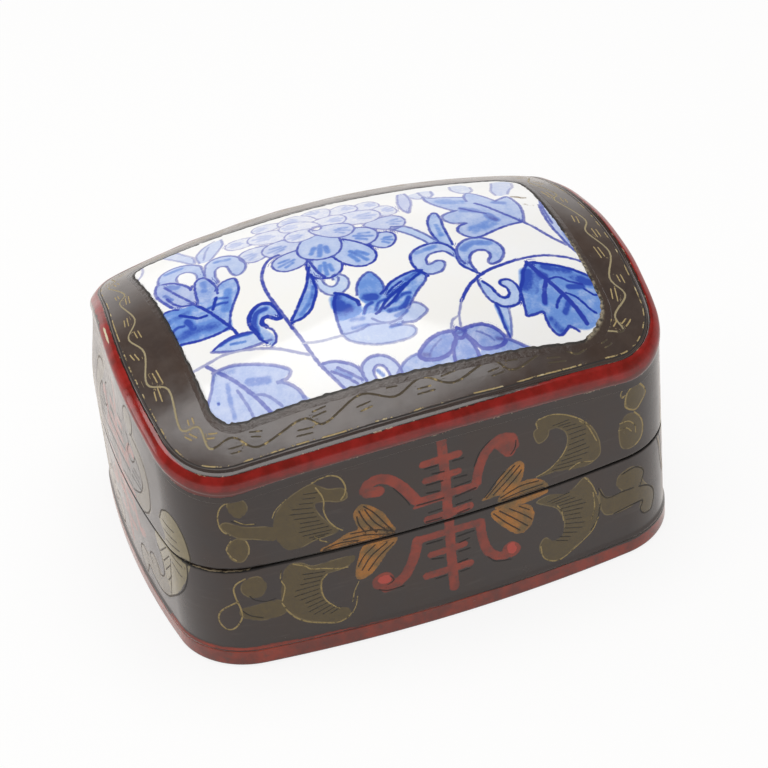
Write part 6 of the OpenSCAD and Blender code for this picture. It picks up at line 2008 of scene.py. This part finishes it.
        # Bare ground at the front right corner and up the right side, a little at the back right
        x = surface[..., 0]
        y = surface[..., 1]
        bare = 0.46 * np.clip((x - 27) / 6, 0, 1) * np.clip((12 - y) / 20, 0.35, 1)
        widths = np.concatenate([across, [0.9, 0.1]])[::-1]
        layer = np.stack([bare, np.broadcast_to(widths[:, None], bare.shape), 0 * bare], -1)
        make_piece(
            "filler_ridge", points, quads, fans, "lid", putty, {"bare": layer.reshape(-1, 3)},
            ["shard_filler"],
        )


class SEALBOX_OT_inside(bpy.types.Operator):
    """Finish the lining strips and the dish, and make the heap of seal paste"""

    bl_idname = "sealbox.inside"
    bl_label = "Inside"

    def execute(self, context):
        plan = Plan(context.scene.sealbox_sizes)
        lining = bpy.data.materials["lining lacquer, thin"]
        white = bpy.data.materials["white porcelain, glazed"]
        paste = bpy.data.materials["cinnabar seal paste, oily"]
        for side in SIDES:
            self.finish(f"lip_{side}", lining)
        self.finish("paste_dish", white)
        u = plan.columns(COLUMNS // 2)
        # The heap's flat underside and rounded flank, as insets from the walls' face and heights
        inset = 10.05
        floor = 7.0
        rows = [(14, floor), (inset + 2.2, floor), (inset + 0.9, floor + 0.6)]
        rows += [(inset + 0.2, floor + 1.6)]
        made = list(ring(plan, u, rows))
        edge = np.stack(plan.at(u, inset), -1)
        # The heap was stirred and pressed down with a spatula: low folds run across it
        for t in np.linspace(0, 0.985, 60):
            flat = edge * (1 - t)
            crown = plan.paste_top - 1.5 * ((flat[:, 0] / 42) ** 2 + (flat[:, 1] / 31) ** 2)
            folds = 0.22 * np.sin(0.55 * flat[:, 0] + 1.1 * np.sin(0.16 * flat[:, 1] + 0.6))
            folds = folds + 0.12 * np.sin(1.35 * flat[:, 1] + 0.7 * np.sin(0.4 * flat[:, 0]))
            crumbs = 0.07 * np.sin(3.1 * flat[:, 0] + 2 * np.sin(1.7 * flat[:, 1]))
            crumbs = crumbs * np.sin(2.7 * flat[:, 1])
            shoulder = 0.9 * np.exp(-t / 0.03)
            z = crown - 0.42 + folds + crumbs - shoulder
            made.append(np.concatenate([flat, z[:, None]], 1))
        surface = np.stack(made)
        points, quads, fans = closed_skin(surface, False)
        make_piece(
            "paste_heap", points, quads, fans, "dish", paste, (), ["seal_paste"],
        )
        return {"FINISHED"}

    def finish(self, name, material):
        """Give a node that keeps its own shape a finish."""
        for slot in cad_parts[name].material_slots:
            slot.material = material


OPERATORS = (
    SEALBOX_OT_stage, SEALBOX_OT_materials, SEALBOX_OT_base, SEALBOX_OT_lid, SEALBOX_OT_top,
    SEALBOX_OT_inside,
)


class SEALBOX_PT_panel(bpy.types.Panel):
    """Sizes, colours and the buttons that make the pieces"""

    bl_label = "Seal paste box"
    bl_idname = "SEALBOX_PT_panel"
    bl_space_type = "VIEW_3D"
    bl_region_type = "UI"
    bl_category = "Seal box"

    def draw(self, context):
        for group in (context.scene.sealbox_sizes, context.scene.sealbox_colours):
            for key in type(group).__annotations__:
                self.layout.prop(group, key)
        for operator in OPERATORS:
            self.layout.operator(operator.bl_idname)


CLASSES = (SEALBOX_PG_sizes, SEALBOX_PG_colours) + OPERATORS + (SEALBOX_PT_panel,)


def register():
    """Register the classes and hang the properties on the scene."""
    for item in CLASSES:
        bpy.utils.register_class(item)
    bpy.types.Scene.sealbox_sizes = bpy.props.PointerProperty(type=SEALBOX_PG_sizes)
    bpy.types.Scene.sealbox_colours = bpy.props.PointerProperty(type=SEALBOX_PG_colours)


def unregister():
    """Take the properties and the classes away again."""
    del bpy.types.Scene.sealbox_sizes
    del bpy.types.Scene.sealbox_colours
    for item in reversed(CLASSES):
        bpy.utils.unregister_class(item)


def main():
    """Make every piece in order."""
    register()
    for operator in OPERATORS:
        group, name = operator.bl_idname.split(".")
        getattr(getattr(bpy.ops, group), name)()


if __name__ == "__main__":
    main()
